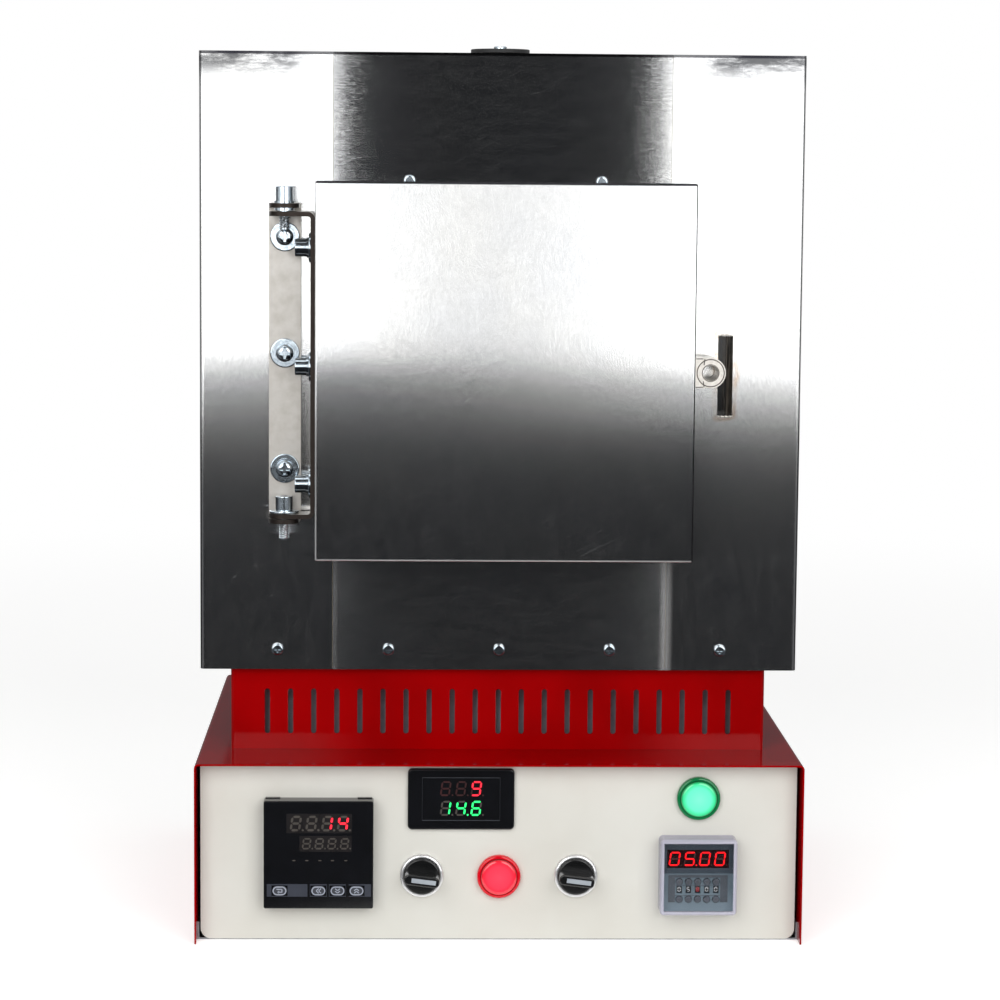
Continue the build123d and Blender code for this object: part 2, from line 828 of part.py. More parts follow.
def door_liner():
    """Flat frame that closes the back of the pan round the plug."""
    plate = block(door_left + sheet, door_right - sheet, door_back_y - sheet, door_back_y,
                  door_bottom + sheet, door_top - sheet)
    half_w = chamber_w / 2 - plug_margin + move_gap
    half_h = chamber_h / 2 - plug_margin + move_gap
    return plate - block(chamber_x - half_w, chamber_x + half_w, door_back_y - 2 * sheet,
                         door_back_y + through, chamber_z - half_h, chamber_z + half_h)


def door_plug():
    """Fibre block that fills the pan and tapers into the mouth."""
    fill = block(door_left + sheet, door_right - sheet, door_front_y + sheet, door_back_y - sheet,
                 door_bottom + sheet, door_top - sheet)
    start = Plane(origin=(chamber_x, door_back_y - sheet, chamber_z), x_dir=(1, 0, 0), z_dir=(0, 1, 0))
    outline = Rectangle(chamber_w - 2 * plug_margin, chamber_h - 2 * plug_margin)
    length = sheet + door_gap + plug_reach
    return fill + extrude(start * outline, length, taper=plug_taper)


def door_gasket():
    """Four strips of woven ceramic tape round the plug, on the back of the door."""
    inner_w = chamber_w / 2 + mouth_reveal + gasket_inset
    inner_h = chamber_h / 2 + mouth_reveal + gasket_inset
    outer_w = inner_w + gasket_w
    outer_h = inner_h + gasket_w
    y0 = door_back_y
    y1 = box_front_y - move_gap
    left = block(chamber_x - outer_w, chamber_x - inner_w, y0, y1, chamber_z - inner_h, chamber_z + inner_h)
    right = block(chamber_x + inner_w, chamber_x + outer_w, y0, y1, chamber_z - inner_h, chamber_z + inner_h)
    upper = block(chamber_x - outer_w, chamber_x + outer_w, y0, y1, chamber_z + inner_h, chamber_z + outer_h)
    lower = block(chamber_x - outer_w, chamber_x + outer_w, y0, y1, chamber_z - outer_h, chamber_z - inner_h)
    return [left, right, upper, lower]


def latch_barrel():
    """Round barrel on a flat tab at the free edge of the door, bored for the handle rod."""
    y1 = latch_y + latch_len
    barrel = rod_y(latch_x, latch_z, latch_r, latch_y, y1)
    tab = block(door_right, door_right + latch_tab_w, latch_y, y1, latch_z - latch_r, latch_z + latch_r)
    bore = rod_y(latch_x, latch_z, latch_bore_r, latch_y - through, y1 + through)
    return barrel + tab - bore


def strike_pocket():
    """Sheet pocket behind the latch slot that the hook catches in."""
    half_w = strike_slot_w / 2
    half_h = strike_slot_h / 2
    back = inner_front_y + strike_depth
    outer = block(strike_x - half_w - strike_wall, strike_x + half_w + strike_wall, inner_front_y, back,
                  strike_z - half_h - strike_wall, strike_z + half_h + strike_wall)
    return outer - block(strike_x - half_w, strike_x + half_w, inner_front_y - through,
                         back - strike_wall, strike_z - half_h, strike_z + half_h)


# Hinge

def box_ear(z0):
    """A flat ear with a rounded end and a bolt hole, from the hinge axis back to the box front."""
    z1 = z0 + bar_t
    tongue = rod_z(hinge_x, hinge_y, ear_w / 2, z0, z1)
    tongue += block(hinge_x - ear_w / 2, hinge_x + ear_w / 2, hinge_y, box_front_y, z0, z1)
    return tongue - rod_z(hinge_x, hinge_y, pivot_r + pin_play, z0 - through, z1 + through)


def door_ear(z0):
    """A flat ear with a rounded end and a bolt hole, from the hinge axis across to the door."""
    z1 = z0 + bar_t
    tongue = rod_z(hinge_x, hinge_y, ear_w / 2, z0, z1)
    tongue += block(hinge_x, door_left, hinge_y - ear_w / 2, hinge_y + ear_w / 2, z0, z1)
    return tongue - rod_z(hinge_x, hinge_y, pivot_r + pin_play, z0 - through, z1 + through)


def box_hinge_leaf():
    """Flat bar on the box front whose two ends are bent forward as ears."""
    bar_y = box_front_y - bar_t
    bar = block(hinge_x - leaf_bar_w / 2, hinge_x + leaf_bar_w / 2, bar_y, box_front_y,
                box_leaf_bottom, box_leaf_top)
    for z in leaf_bolts_z:
        bar -= rod_y(hinge_x, z, bolt_r + pin_play, bar_y - through, box_front_y + through)
    lower = box_ear(box_leaf_bottom)
    upper = box_ear(box_leaf_top - bar_t)
    leaf = bar + lower + upper
    outer = [edge for edge in leaf.edges().filter_by(Axis.X)
             if abs(edge.center().Y - box_front_y) < edge_soft]
    return fillet(outer, leaf_bend)


def door_hinge_leaf():
    """Flat bar on the door edge whose two ends are bent outward, inside the box ears."""
    x0 = door_left - bar_t
    y0 = hinge_y - ear_w / 2
    y1 = hinge_y + ear_w / 2
    bar = block(x0, door_left, y0, y1, door_leaf_bottom, door_leaf_top)
    lower = door_ear(door_leaf_bottom)
    upper = door_ear(door_leaf_top - bar_t)
    leaf = bar + lower + upper
    outer = [edge for edge in leaf.edges().filter_by(Axis.Y)
             if abs(edge.center().X - door_left) < edge_soft]
    leaf = fillet(outer, leaf_bend)
    inner = [edge for edge in leaf.edges().filter_by(Axis.Y)
             if abs(edge.center().X - x0) < edge_soft]
    leaf = fillet(inner, leaf_bend - bar_t)
    for z in side_bolts_z:
        leaf -= rod_x(hinge_y, z, bolt_r + pin_play, x0 - through, door_left + through)
    return leaf


def round_washer(r, t, hole_r):
    """A washer that lies on Z = 0, with its upper rim rounded down."""
    plate = Pos(0, 0, t / 2) * Cylinder(r, t)
    plate = fillet(plate.edges().group_by(Axis.Z)[-1], t / 2)
    return plate - Cylinder(hole_r, 4 * t)


def split_washer(z0, hole_r):
    """A spring washer that lies on Z = z0, cut through on one side."""
    ring = rod_z(0, 0, spring_washer_r, z0, z0 + spring_washer_t)
    ring -= rod_z(0, 0, hole_r, z0 - through, z0 + spring_washer_t + through)
    cut = block(0, spring_washer_r + through, -spring_split / 2, spring_split / 2,
                z0 - through, z0 + spring_washer_t + through)
    return ring - Rot(0, 0, -60) * cut


def socket_head(z0, r, height):
    """Cylinder head with a hexagon socket, standing on Z = z0."""
    head = rod_z(0, 0, r, z0, z0 + height)
    head = fillet(head.edges().group_by(Axis.Z)[-1], edge_soft)
    socket = extrude(RegularPolygon(socket_r, 6), socket_d)
    return head - Pos(0, 0, z0 + height - socket_d + edge_soft / 10) * socket


def pan_head(z0):
    """Low domed head with a cross recess, standing on Z = z0."""
    head = rod_z(0, 0, bolt_head_r, z0, z0 + pan_head_h)
    head = fillet(head.edges().group_by(Axis.Z)[-1], pan_head_h - edge_soft)
    arm = bolt_head_r * 0.6
    thin = bolt_head_r / 6
    low = z0 + pan_head_h - pan_recess_d
    high = z0 + pan_head_h + through
    return head - block(-arm, arm, -thin, thin, low, high) - block(-thin, thin, -arm, arm, low, high)


def stacked_bolt(length, pan):
    """Bolt along +Z: flat washer at Z = 0, spring washer, pan or socket head; shank below."""
    hole_r = bolt_r + pin_play
    stack = flat_washer_t + spring_washer_t
    head = pan_head(stack) if pan else socket_head(stack, bolt_head_r, bolt_head_h)
    shank = rod_z(0, 0, bolt_r, -length, stack)
    return [round_washer(flat_washer_r, flat_washer_t, hole_r), split_washer(flat_washer_t, hole_r), head + shank]


def box_leaf_bolts():
    """Three pan-head bolts with washers that hold the leaf to the box front."""
    place = [Pos(hinge_x, box_front_y - bar_t, z) * Rot(90, 0, 0) for z in leaf_bolts_z]
    return [spot * piece for spot in place for piece in stacked_bolt(bar_t + sheet, True)]


def door_leaf_bolts():
    """Three socket-head bolts with washers that hold the leaf to the door edge, heads to the left."""
    place = [Pos(door_left - bar_t, hinge_y, z) * Rot(0, -90, 0) for z in side_bolts_z]
    return [spot * piece for spot in place for piece in stacked_bolt(bar_t + sheet, False)]


def pivot_shank(foot, thread_top, seat):
    """Plain shank down from a seat, and a thinner threaded end below it."""
    return rod_z(0, 0, pivot_r, thread_top, seat) + rod_z(0, 0, pivot_root_r, foot, thread_top)


def pivot_bolts():
    """The two hinge bolts: one down through the upper ears, one down through the lower ears."""
    hole_r = pivot_r + pin_play
    upper_seat = box_leaf_top
    upper_thread_top = door_leaf_top - bar_t - upper_seat
    upper = socket_head(spring_washer_t, pivot_head_r, pivot_head_h)
    upper += pivot_shank(upper_thread_top - pivot_thread_top, upper_thread_top, spring_washer_t)
    spacer_h = ear_step_top - 2 * move_gap
    spacer = rod_z(0, 0, spring_washer_r, -bar_t - spacer_h, -bar_t)
    spacer -= rod_z(0, 0, hole_r, -bar_t - 2 * spacer_h, through)
    lower_seat = door_leaf_bottom + bar_t + move_gap
    lower_thread_top = box_leaf_bottom - lower_seat
    lower = socket_head(flat_washer_t, pivot_head_r, pivot_head_h)
    lower += pivot_shank(lower_thread_top - pivot_thread_bottom, lower_thread_top, flat_washer_t)
    top_place = Pos(hinge_x, hinge_y, upper_seat)
    low_place = Pos(hinge_x, hinge_y, lower_seat)
    return [top_place * split_washer(0, hole_r), top_place * upper, top_place * spacer,
            low_place * round_washer(flat_washer_r, flat_washer_t, hole_r), low_place * lower]


# Panel instruments

def key_places():
    """Centres of the four controller keys: one apart on the left, three in a row."""
    offsets = {"set": key_set_x, "shift": key_shift_x, "down": key_down_x, "up": key_up_x}
    return {name: (controller_x + dx, controller_z - key_drop) for name, dx in offsets.items()}


def controller_case():
    """Temperature controller: square bezel outside the panel, body behind it."""
    front = panel_y - controller_proud
    bezel = front_plate(controller_x, controller_z, controller_size, controller_size, front, panel_y, edge_soft * 2)
    bezel = fillet(bezel.faces().sort_by(Axis.Y)[0].edges(), edge_soft)
    half = controller_body / 2
    body = block(controller_x - half, controller_x + half, panel_y, panel_y + controller_body_d,
                 controller_z - half, controller_z + half)
    case = bezel + body
    case -= window_block(controller_x, controller_z + controller_window_up, controller_window_w,
                         controller_window_h, front)
    deep = key_t - key_proud + key_travel + move_gap
    for x, z in key_places().values():
        case -= oval_bar(x, z, key_w + 2 * move_gap, key_h + 2 * move_gap, front - through, front + deep)
    return case


def window_block(x, z, w, h, front):
    """Block of a display window, set flush in its instrument."""
    return block(x - w / 2, x + w / 2, front, front + window_t, z - h / 2, z + h / 2)


def controller_key(name):
    """One oval key of the controller, a little proud of the bezel."""
    x, z = key_places()[name]
    front = panel_y - controller_proud - key_proud
    key = oval_bar(x, z, key_w, key_h, front, front + key_t)
    return fillet(key.faces().sort_by(Axis.Y)[0].edges(), edge_soft / 2)


def meter_case():
    """Volt and amp meter: shallow bezel outside the panel, body behind it."""
    front = panel_y - meter_proud
    bezel = front_plate(meter_x, meter_z, meter_w, meter_h, front, panel_y, bend)
    bezel = fillet(bezel.faces().sort_by(Axis.Y)[0].edges(), edge_soft * 2)
    body = block(meter_x - meter_body_w / 2, meter_x + meter_body_w / 2, panel_y,
                 panel_y + meter_body_d, meter_z - meter_body_h / 2, meter_z + meter_body_h / 2)
    recess = Pos(0, window_t, 0) * window_block(meter_x, meter_z, meter_window_w, meter_window_h, front)
    return bezel + body - recess - window_block(meter_x, meter_z, meter_window_w, meter_window_h, front)


def display_windows():
    """Dark windows of the controller, the meter and the timer."""
    controller = window_block(controller_x, controller_z + controller_window_up, controller_window_w,
                              controller_window_h, panel_y - controller_proud)
    meter = window_block(meter_x, meter_z, meter_window_w, meter_window_h,
                         panel_y - meter_proud + window_t)
    timer = window_block(timer_x, timer_z + timer_window_up, timer_window_w, timer_window_h,
                         panel_y - timer_proud)
    return [controller, meter, timer]


def panel_bezels():
    """Metal rings, threaded stems and contact blocks of the selectors and lamps."""
    return [panel_bezel(x, z) for x, z in round_places()]


def panel_bezel(x, z):
    """One dished ring outside the panel on a stem through it, with a contact block behind."""
    ring = rod_y(x, z, bezel_r, panel_y - bezel_proud, panel_y)
    ring = fillet(ring.edges().group_by(Axis.Y)[0], bend / 2)
    ring -= rod_y(x, z, bezel_inner_r, panel_y - bezel_proud - through, bezel_base_y)
    stem = rod_y(x, z, stem_r, panel_y, panel_back_y + stem_d)
    half = contact_block_w / 2
    contacts = block(x - half, x + half, panel_back_y + stem_d,
                     panel_back_y + stem_d + contact_block_d, z - half, z + half)
    nut = rod_y(x, z, bezel_r, panel_back_y, panel_back_y + bezel_proud)
    return ring + stem + nut + contacts


def selector_knob(x, z):
    """Round black knob with a grip bar across it that points to its right."""
    back = bezel_base_y - move_gap
    front = panel_y - knob_proud
    disc = rod_y(0, 0, knob_r, front, back)
    disc = fillet(disc.edges().group_by(Axis.Y)[0], bend / 3)
    lever = block(-lever_len / 2, lever_len / 2, lever_front_y, front + through, -lever_w / 2, lever_w / 2)
    lever = fillet(lever.edges().filter_by(Axis.Y), lever_w / 2 - edge_soft)
    lever = fillet(lever.faces().sort_by(Axis.Y)[0].edges(), bend / 3)
    knob = disc + lever
    return Pos(x, 0, z) * Rot(0, -lever_tilt, 0) * knob


def lamp_lens(x, z):
    """Coloured lens of a pilot lamp, seated in its ring."""
    lens = rod_y(x, z, lens_r, panel_y - lens_proud, bezel_base_y)
    return fillet(lens.edges().group_by(Axis.Y)[0], lens_round)


def wheel_places():
    """X of each push-wheel of the timer."""
    return [timer_x + (step - (wheel_count - 1) / 2) * wheel_pitch for step in range(wheel_count)]


def step_key_heights():
    """Heights of the keys over and under the wheels."""
    return [wheel_row_z + step_key_up, wheel_row_z - step_key_down]


def timer_case():
    """Timer: square bezel outside the panel with cells for its wheels and step keys."""
    front = panel_y - timer_proud
    bezel = front_plate(timer_x, timer_z, timer_w, timer_h, front, panel_y, edge_soft * 2)
    half = timer_body / 2
    body = block(timer_x - half, timer_x + half, panel_y, panel_y + timer_body_d,
                 timer_z - half, timer_z + half)
    case = bezel + body
    case -= window_block(timer_x, timer_z + timer_window_up, timer_window_w, timer_window_h, front)
    cell_half = wheel_w / 2 + move_gap
    key_deep = step_key_l - step_key_proud + step_key_travel + move_gap
    for x in wheel_places():
        case -= rod_x(wheel_axis_y, wheel_row_z, wheel_r + move_gap, x - cell_half, x + cell_half)
        case -= block(x - wheel_window_w / 2, x + wheel_window_w / 2, front - through, wheel_axis_y,
                      wheel_row_z - wheel_window_h / 2, wheel_row_z + wheel_window_h / 2)
        for z in step_key_heights():
            case -= rod_y(x, z, step_key_r + move_gap, front - through, front + key_deep)
    places = wheel_places()
    reach = wheel_w + through
    axle = rod_x(wheel_axis_y, wheel_row_z, wheel_bore_r, places[0] - reach, places[-1] + reach)
    return case + axle


def timer_wheel(x):
    """One numbered wheel on the common axle."""
    wheel = rod_x(wheel_axis_y, wheel_row_z, wheel_r, x - wheel_w / 2, x + wheel_w / 2)
    return wheel - rod_x(wheel_axis_y, wheel_row_z, wheel_bore_r + pin_play, x - wheel_w, x + wheel_w)


def timer_step_key(x, z):
    """One small round key that steps its wheel up or down."""
    front = panel_y - timer_proud - step_key_proud
    key = rod_y(x, z, step_key_r, front, front + step_key_l)
    return fillet(key.edges().group_by(Axis.Y)[0], edge_soft / 2)


def timer_cover():
    """Clear snap-on cover over the timer."""
    back = panel_y - move_gap
    front = back - timer_cover_d
    shell = front_plate(timer_x, timer_z, timer_cover_w, timer_cover_h, front, back, bend)
    shell = fillet(shell.faces().sort_by(Axis.Y)[0].edges(), timer_cover_soft)
    half_w = timer_w / 2 + move_gap
    half_h = timer_h / 2 + move_gap
    return shell - block(timer_x - half_w, timer_x + half_w, front + timer_cover_wall, back + through,
                         timer_z - half_h, timer_z + half_h)


def all_nodes():
    """Every node by name, as one solid or a list of separate solids."""
    nodes = {
        "base_cover": base_cover(),
        "base_tray": base_tray(),
        "control_panel": control_panel(),
        "cord_gland": cord_gland(),
        "base_electrics": base_electrics(),
        "plinth_skirt": plinth_skirt(),
        "plinth_baffle": plinth_baffle(),
        "left_shell": left_shell(),
        "right_shell": right_shell(),
        "front_sheet": front_sheet(),
        "top_sheet": top_sheet(),
        "bottom_sheet": bottom_sheet(),
        "rear_panel": rear_panel(),
        "case_screws": case_screws() + [vent_screw()],
        "mouth_bricks": mouth_bricks(),
        "insulation_boards": insulation_boards(),
        "element_plates": element_plates(),
        "heating_elements": heating_elements(),
        "hearth_tile": hearth_tile(),
        "thermocouple": thermocouple(),
        "vent_tube": vent_tube(),
        "vent_cap": vent_cap(),
        "door_shell": door_shell(),
        "door_liner": door_liner(),
        "door_plug": door_plug(),
        "door_gasket": door_gasket(),
        "door_hinge_leaf": door_hinge_leaf(),
        "door_leaf_bolts": door_leaf_bolts(),
        "latch_barrel": latch_barrel(),
        "box_hinge_leaf": box_hinge_leaf(),
        "hinge_bolts": box_leaf_bolts() + pivot_bolts(),
        "controller_case": controller_case(),
        "meter_case": meter_case(),
        "display_windows": display_windows(),
        "panel_bezels": panel_bezels(),
        "heating_knob": selector_knob(-knob_x, knob_z),
        "timing_knob": selector_knob(knob_x, knob_z),
        "heating_lens": lamp_lens(lamp_x, lamp_z),
        "power_lens": lamp_lens(power_x, power_z),
        "timer_case": timer_case(),
        "timer_cover": timer_cover(),
    }
    for name in key_places():
        nodes["controller_key_" + name] = controller_key(name)
    plus_z, minus_z = step_key_heights()
    for index, x in enumerate(wheel_places()):
        nodes[f"timer_wheel_{index + 1}"] = timer_wheel(x)
        nodes[f"timer_plus_{index + 1}"] = timer_step_key(x, plus_z)
        nodes[f"timer_minus_{index + 1}"] = timer_step_key(x, minus_z)
    return nodes


def write_parts():
    """Move every node to the object's origin and write one STEP file for each."""
    os.makedirs("parts", exist_ok=True)
    for name, shape in all_nodes().items():
        solids = shape if isinstance(shape, list) else [shape]
        moved = [Pos(0, shift_y, 0) * solid for solid in solids]
        whole = moved[0] if len(moved) == 1 else Compound(children=moved)
        export_step(whole, f"parts/{name}.step")


write_parts()
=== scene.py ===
import math
from functools import partial

import bpy
import numpy as np
from mathutils import Matrix, Vector


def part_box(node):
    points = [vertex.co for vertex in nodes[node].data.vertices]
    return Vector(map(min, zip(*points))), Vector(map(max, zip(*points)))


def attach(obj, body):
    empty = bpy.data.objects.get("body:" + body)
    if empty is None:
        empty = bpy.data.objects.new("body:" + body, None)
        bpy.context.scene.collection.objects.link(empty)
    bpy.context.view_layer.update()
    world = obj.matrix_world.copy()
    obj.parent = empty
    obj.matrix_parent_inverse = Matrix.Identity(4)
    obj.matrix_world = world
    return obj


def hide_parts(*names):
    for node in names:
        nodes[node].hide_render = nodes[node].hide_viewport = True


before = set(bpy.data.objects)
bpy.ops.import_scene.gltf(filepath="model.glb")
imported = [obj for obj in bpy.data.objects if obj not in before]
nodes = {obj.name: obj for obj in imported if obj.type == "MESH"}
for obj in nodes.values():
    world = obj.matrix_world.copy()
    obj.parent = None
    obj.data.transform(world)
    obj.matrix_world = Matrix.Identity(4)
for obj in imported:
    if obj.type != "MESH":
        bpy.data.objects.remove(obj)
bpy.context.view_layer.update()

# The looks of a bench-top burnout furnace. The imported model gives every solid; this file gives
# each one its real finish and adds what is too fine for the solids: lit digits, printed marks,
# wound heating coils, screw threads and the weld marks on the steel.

MM = 0.001


# Places on the object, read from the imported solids, in millimetres

def low(node):
    """Lowest corner of a node in millimetres."""
    return np.array(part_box(node)[0]) / MM


def high(node):
    """Highest corner of a node in millimetres."""
    return np.array(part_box(node)[1]) / MM


def middle(node):
    """Middle of a node's box in millimetres."""
    return (low(node) + high(node)) / 2


box_front, box_side, box_top = low("left_shell")[1], high("right_shell")[0], high("right_shell")[2]
seam_x = low("right_shell")[0]
door_low, door_high = low("door_shell"), high("door_shell")
# Haze on the steel changes between two heights, near the bottom and the top of the door.
haze_low, haze_high = door_low[2] - 2.05, door_high[2] - 0.55
# The slot for the latch hook lies to the right of the door, a little below the door's middle.
slot_x, slot_z = door_high[0] + 22.3, middle("door_shell")[2] - 2.8
slot_half_w, slot_half_h = 5.0, 26.5
pivot_x, pivot_y = middle("hinge_bolts")[0], middle("door_hinge_leaf")[1]
case_low, case_high = low("controller_case"), high("controller_case")
meter_low, meter_high = low("meter_case"), high("meter_case")
timer_low, timer_high = low("timer_case"), high("timer_case")


# Meshes

def make(name, points, faces, finish, body, slot, smooth=False):
    """One mesh piece from points in millimetres and a list of faces, which rides on a body."""
    mesh = bpy.data.meshes.new(name)
    mesh.from_pydata((np.asarray(points, float) * MM).tolist(), [], faces)
    mesh.validate()
    mesh.polygons.foreach_set("use_smooth", [smooth] * len(mesh.polygons))
    piece = bpy.data.objects.new(name, mesh)
    bpy.context.collection.objects.link(piece)
    mesh.materials.append(finish)
    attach(piece, body)
    return piece


def plates(outlines, front, back):
    """Raised flat shapes: each outline of (x, z), counter-clockwise, drawn from y = front to back."""
    outlines = np.asarray(outlines, float)
    count, corners = outlines.shape[:2]
    x, z = outlines[..., 0], outlines[..., 1]
    layers = [np.dstack((x, np.full((count, corners), y), z)) for y in (front, back)]
    points = np.concatenate(layers, axis=1).reshape(-1, 3)
    start = 2 * corners * np.arange(count)[:, None]
    ring = np.arange(corners)
    following = np.roll(ring, -1)
    faces = (start + ring).tolist() + (start + corners + ring[::-1]).tolist()
    quads = np.stack((ring, ring + corners, following + corners, following), axis=-1)
    return points, faces + (start[..., None] + quads).reshape(-1, 4).tolist()


def proud(name, outlines, y, above, finish, slot, body="root", sunk=0.0):
    """A piece of flat shapes that stand above a face at y and may be sunk a little into it."""
    return make(name, *plates(outlines, y - above, y + sunk), finish, body, slot)


def grid(points, closed_u=False, closed_v=False):
    """Quads over an array of points (u, v, 3), joined end to end where a direction is closed."""
    rows, columns = points.shape[:2]
    u = np.arange(rows if closed_u else rows - 1)[:, None]
    v = np.arange(columns if closed_v else columns - 1)[None, :]
    u2 = (u + 1) % rows
    v2 = (v + 1) % columns
    corners = (u * columns + v, u2 * columns + v, u2 * columns + v2, u * columns + v2)
    quads = np.stack(np.broadcast_arrays(*corners), axis=-1).reshape(-1, 4)
    return points.reshape(-1, 3), quads.tolist()


def rectangle(x0, x1, z0, z1):
    """Outline of an upright rectangle."""
    return [(x0, z0), (x1, z0), (x1, z1), (x0, z1)]


def stadium(x, z, width, height, steps=10):
    """Outline of a flat-sided oval: two half circles of the height, joined by straight sides."""
    turn = np.linspace(-math.pi / 2, math.pi / 2, steps)
    reach = (width - height) / 2
    right = np.stack((x + reach + height / 2 * np.cos(turn), z + height / 2 * np.sin(turn)), axis=-1)
    left = np.stack((x - reach - height / 2 * np.cos(turn), z - height / 2 * np.sin(turn)), axis=-1)
    return np.concatenate((right, left))


def ring_band(x, z, width, height, wide, front, back, steps=16):
    """A flat oval ring: an oval and the same oval one width smaller, joined by a square section."""
    outer = stadium(x, z, width, height, steps)
    inner = stadium(x, z, width - 2 * wide, height - 2 * wide, steps)
    around = len(outer)
    section = [(outer, front), (outer, back), (inner, back), (inner, front)]
    rows = [np.column_stack((line[:, 0], np.full(around, y), line[:, 1])) for line, y in section]
    return grid(np.stack(rows, axis=1), closed_u=True, closed_v=True)


def strokes(lines, width):
    """Outlines of straight strokes: each pair of ends (x, z) becomes a bar of that width along its line."""
    lines = np.asarray(lines, float)
    along = lines[:, 1] - lines[:, 0]
    along = along / np.linalg.norm(along, axis=1, keepdims=True)
    side = np.stack((-along[:, 1], along[:, 0]), axis=-1) * width / 2
    return np.stack((lines[:, 0] - side, lines[:, 1] - side, lines[:, 1] + side, lines[:, 0] + side), axis=1)


def frame_sides(x0, x1, z0, z1, gap):
    """Ends of the four sides of a rectangle; the upright ones stop a gap short of the level ones."""
    upright = [((x, z0 + gap), (x, z1 - gap)) for x in (x0, x1)]
    return [((x0, z0), (x1, z0)), ((x0, z1), (x1, z1)), *upright]


# Seven-segment digits. Segments a to g are numbered 0 to 6: top, upper right, lower right,
# bottom, lower left, upper left, middle.
LIT = {"0": (0, 1, 2, 3, 4, 5), "1": (1, 2), "4": (1, 2, 5, 6), "5": (0, 2, 3, 5, 6),
       "6": (0, 2, 3, 4, 5, 6), "8": (0, 1, 2, 3, 4, 5, 6), "9": (0, 1, 2, 3, 5, 6), " ": ()}
LEAN = 0.14


def digit_segments(text, x, z, pitch, width, height, thick, lean):
    """Lit and dark bars of a row of digits centred on (x, z): six-cornered, leaned by x + lean * z."""
    half_w, half_h, edge, gap = width / 2 - thick / 2, height / 2 - thick / 2, thick / 2, thick * 0.27
    level = np.array([(-half_w + gap, 0), (-half_w + edge + gap, -edge), (half_w - edge - gap, -edge),
                      (half_w - gap, 0), (half_w - edge - gap, edge), (-half_w + edge + gap, edge)])
    reach = half_h / 2
    upright = np.array([(0, -reach + gap), (edge, -reach + edge + gap), (edge, reach - edge - gap),
                        (0, reach - gap), (-edge, reach - edge - gap), (-edge, -reach + edge + gap)])
    cell = np.stack((level + (0, half_h), upright + (half_w, reach), upright + (half_w, -reach),
                     level - (0, half_h), upright + (-half_w, -reach), upright + (-half_w, reach), level))
    cell[..., 0] += lean * cell[..., 1]
    places = x + (np.arange(len(text)) - (len(text) - 1) / 2) * pitch
    lit, dark = [], []
    for place, mark in zip(places, text):
        for index in range(7):
            (lit if index in LIT[mark] else dark).append(cell[index] + (place, z))
    return lit, dark


# Finishes

def linear(colour):
    """A linear colour from its sRGB hex value."""
    parts = np.array([int(colour[i:i + 2], 16) for i in (1, 3, 5)]) / 255
    parts = np.where(parts <= 0.04045, parts / 12.92, ((parts + 0.055) / 1.055) ** 2.4)
    return (*parts.tolist(), 1.0)


MODES = {"Math": "operation", "VectorMath": "operation", "MapRange": "interpolation_type", "Mix": "data_type",
         "VectorRotate": "rotation_type"}


def feed(node, key, value):
    """Fills an input of a node: a socket is linked, a hex colour turned linear, all else is a value."""
    if isinstance(value, bpy.types.NodeSocket):
        node.id_data.links.new(value, node.inputs[key])
    else:
        node.inputs[key].default_value = linear(value) if isinstance(value, str) else value


def add_node(tree, kind, *inputs, named=None, stops=None, **settings):
    """Adds one node and gives its first output in use. The kind may carry its mode, as in "Math ADD".

    Inputs go to the sockets in use in their order, or by name. Settings are the node's properties, and
    stops a ramp's places and colours.
    """
    kind, _, mode = kind.partition(" ")
    node = tree.nodes.new("ShaderNode" + kind)
    if mode:
        settings[MODES[kind]] = mode
    for key, value in settings.items():
        setattr(node, key, value)
    for index, (place, colour) in enumerate(stops or ()):
        stop = node.color_ramp.elements[index] if index < 2 else node.color_ramp.elements.new(place)
        stop.position = place
        stop.color = linear(colour)
    in_use = [index for index, socket in enumerate(node.inputs) if socket.enabled]
    for key, value in [*zip(in_use, inputs), *(named or {}).items()]:
        feed(node, key, value)
    return next((socket for socket in node.outputs if socket.enabled), node)


def finish(name, values):
    """A new material, the adder of its nodes, its shader with even values, and its place in millimetres."""
    material = bpy.data.materials.new(name)
    material.use_nodes = True
    material.node_tree.nodes.clear()
    add = partial(add_node, material.node_tree)
    surface = add("BsdfPrincipled", named=values)
    add("OutputMaterial", surface)
    place = add("VectorMath SCALE", add("TexCoord").node.outputs["Object"], 1 / MM)
    return material, add, surface.node, place


def fed(shader, key):
    """The socket that feeds a shader's input so far."""
    return shader.inputs[key].links[0].from_socket


def cover(shader, amount, colour):
    """Covers the base colour so far with another by an amount."""
    so_far = fed(shader, "Base Color")
    feed(shader, "Base Color", add_node(shader.id_data, "Mix RGBA", amount, so_far, colour))


def two_tone(shader, blot, first, second):
    """Base colour of two shades in soft blots of a noise."""
    amount = add_node(shader.id_data, "MapRange", blot, 0.35, 0.65, 0.0, 1.0)
    feed(shader, "Base Color", add_node(shader.id_data, "Mix RGBA", amount, first, second))


def soft_band(add, value, centre, half, soft):
    """1 within half a width of a centre, falling to 0 over a soft edge."""
    distance = add("Math ABSOLUTE", add("Math SUBTRACT", value, centre))
    return add("MapRange SMOOTHSTEP", distance, half, half + soft, 1.0, 0.0)


def powder_coat(name, base, deep, roughness, peel):
    """Powder coat: a baked plastic skin with an orange-peel ripple that bends its reflections a little."""
    values = {"Roughness": roughness, "IOR": 1.42, "Specular IOR Level": 0.25}
    material, add, shader, place = finish(name, values)
    # Ripples 1.6 mm apart are what catches the light; blots 60 mm across are a slight change of depth.
    ripple = add("TexNoise", place, 1 / 1.6)
    cloud = add("TexNoise", place, 1 / 60, 3.0)
    two_tone(shader, cloud, base, deep)
    feed(shader, "Normal", add("Bump", 0.6, peel * MM, named={"Height": ripple}))
    return material


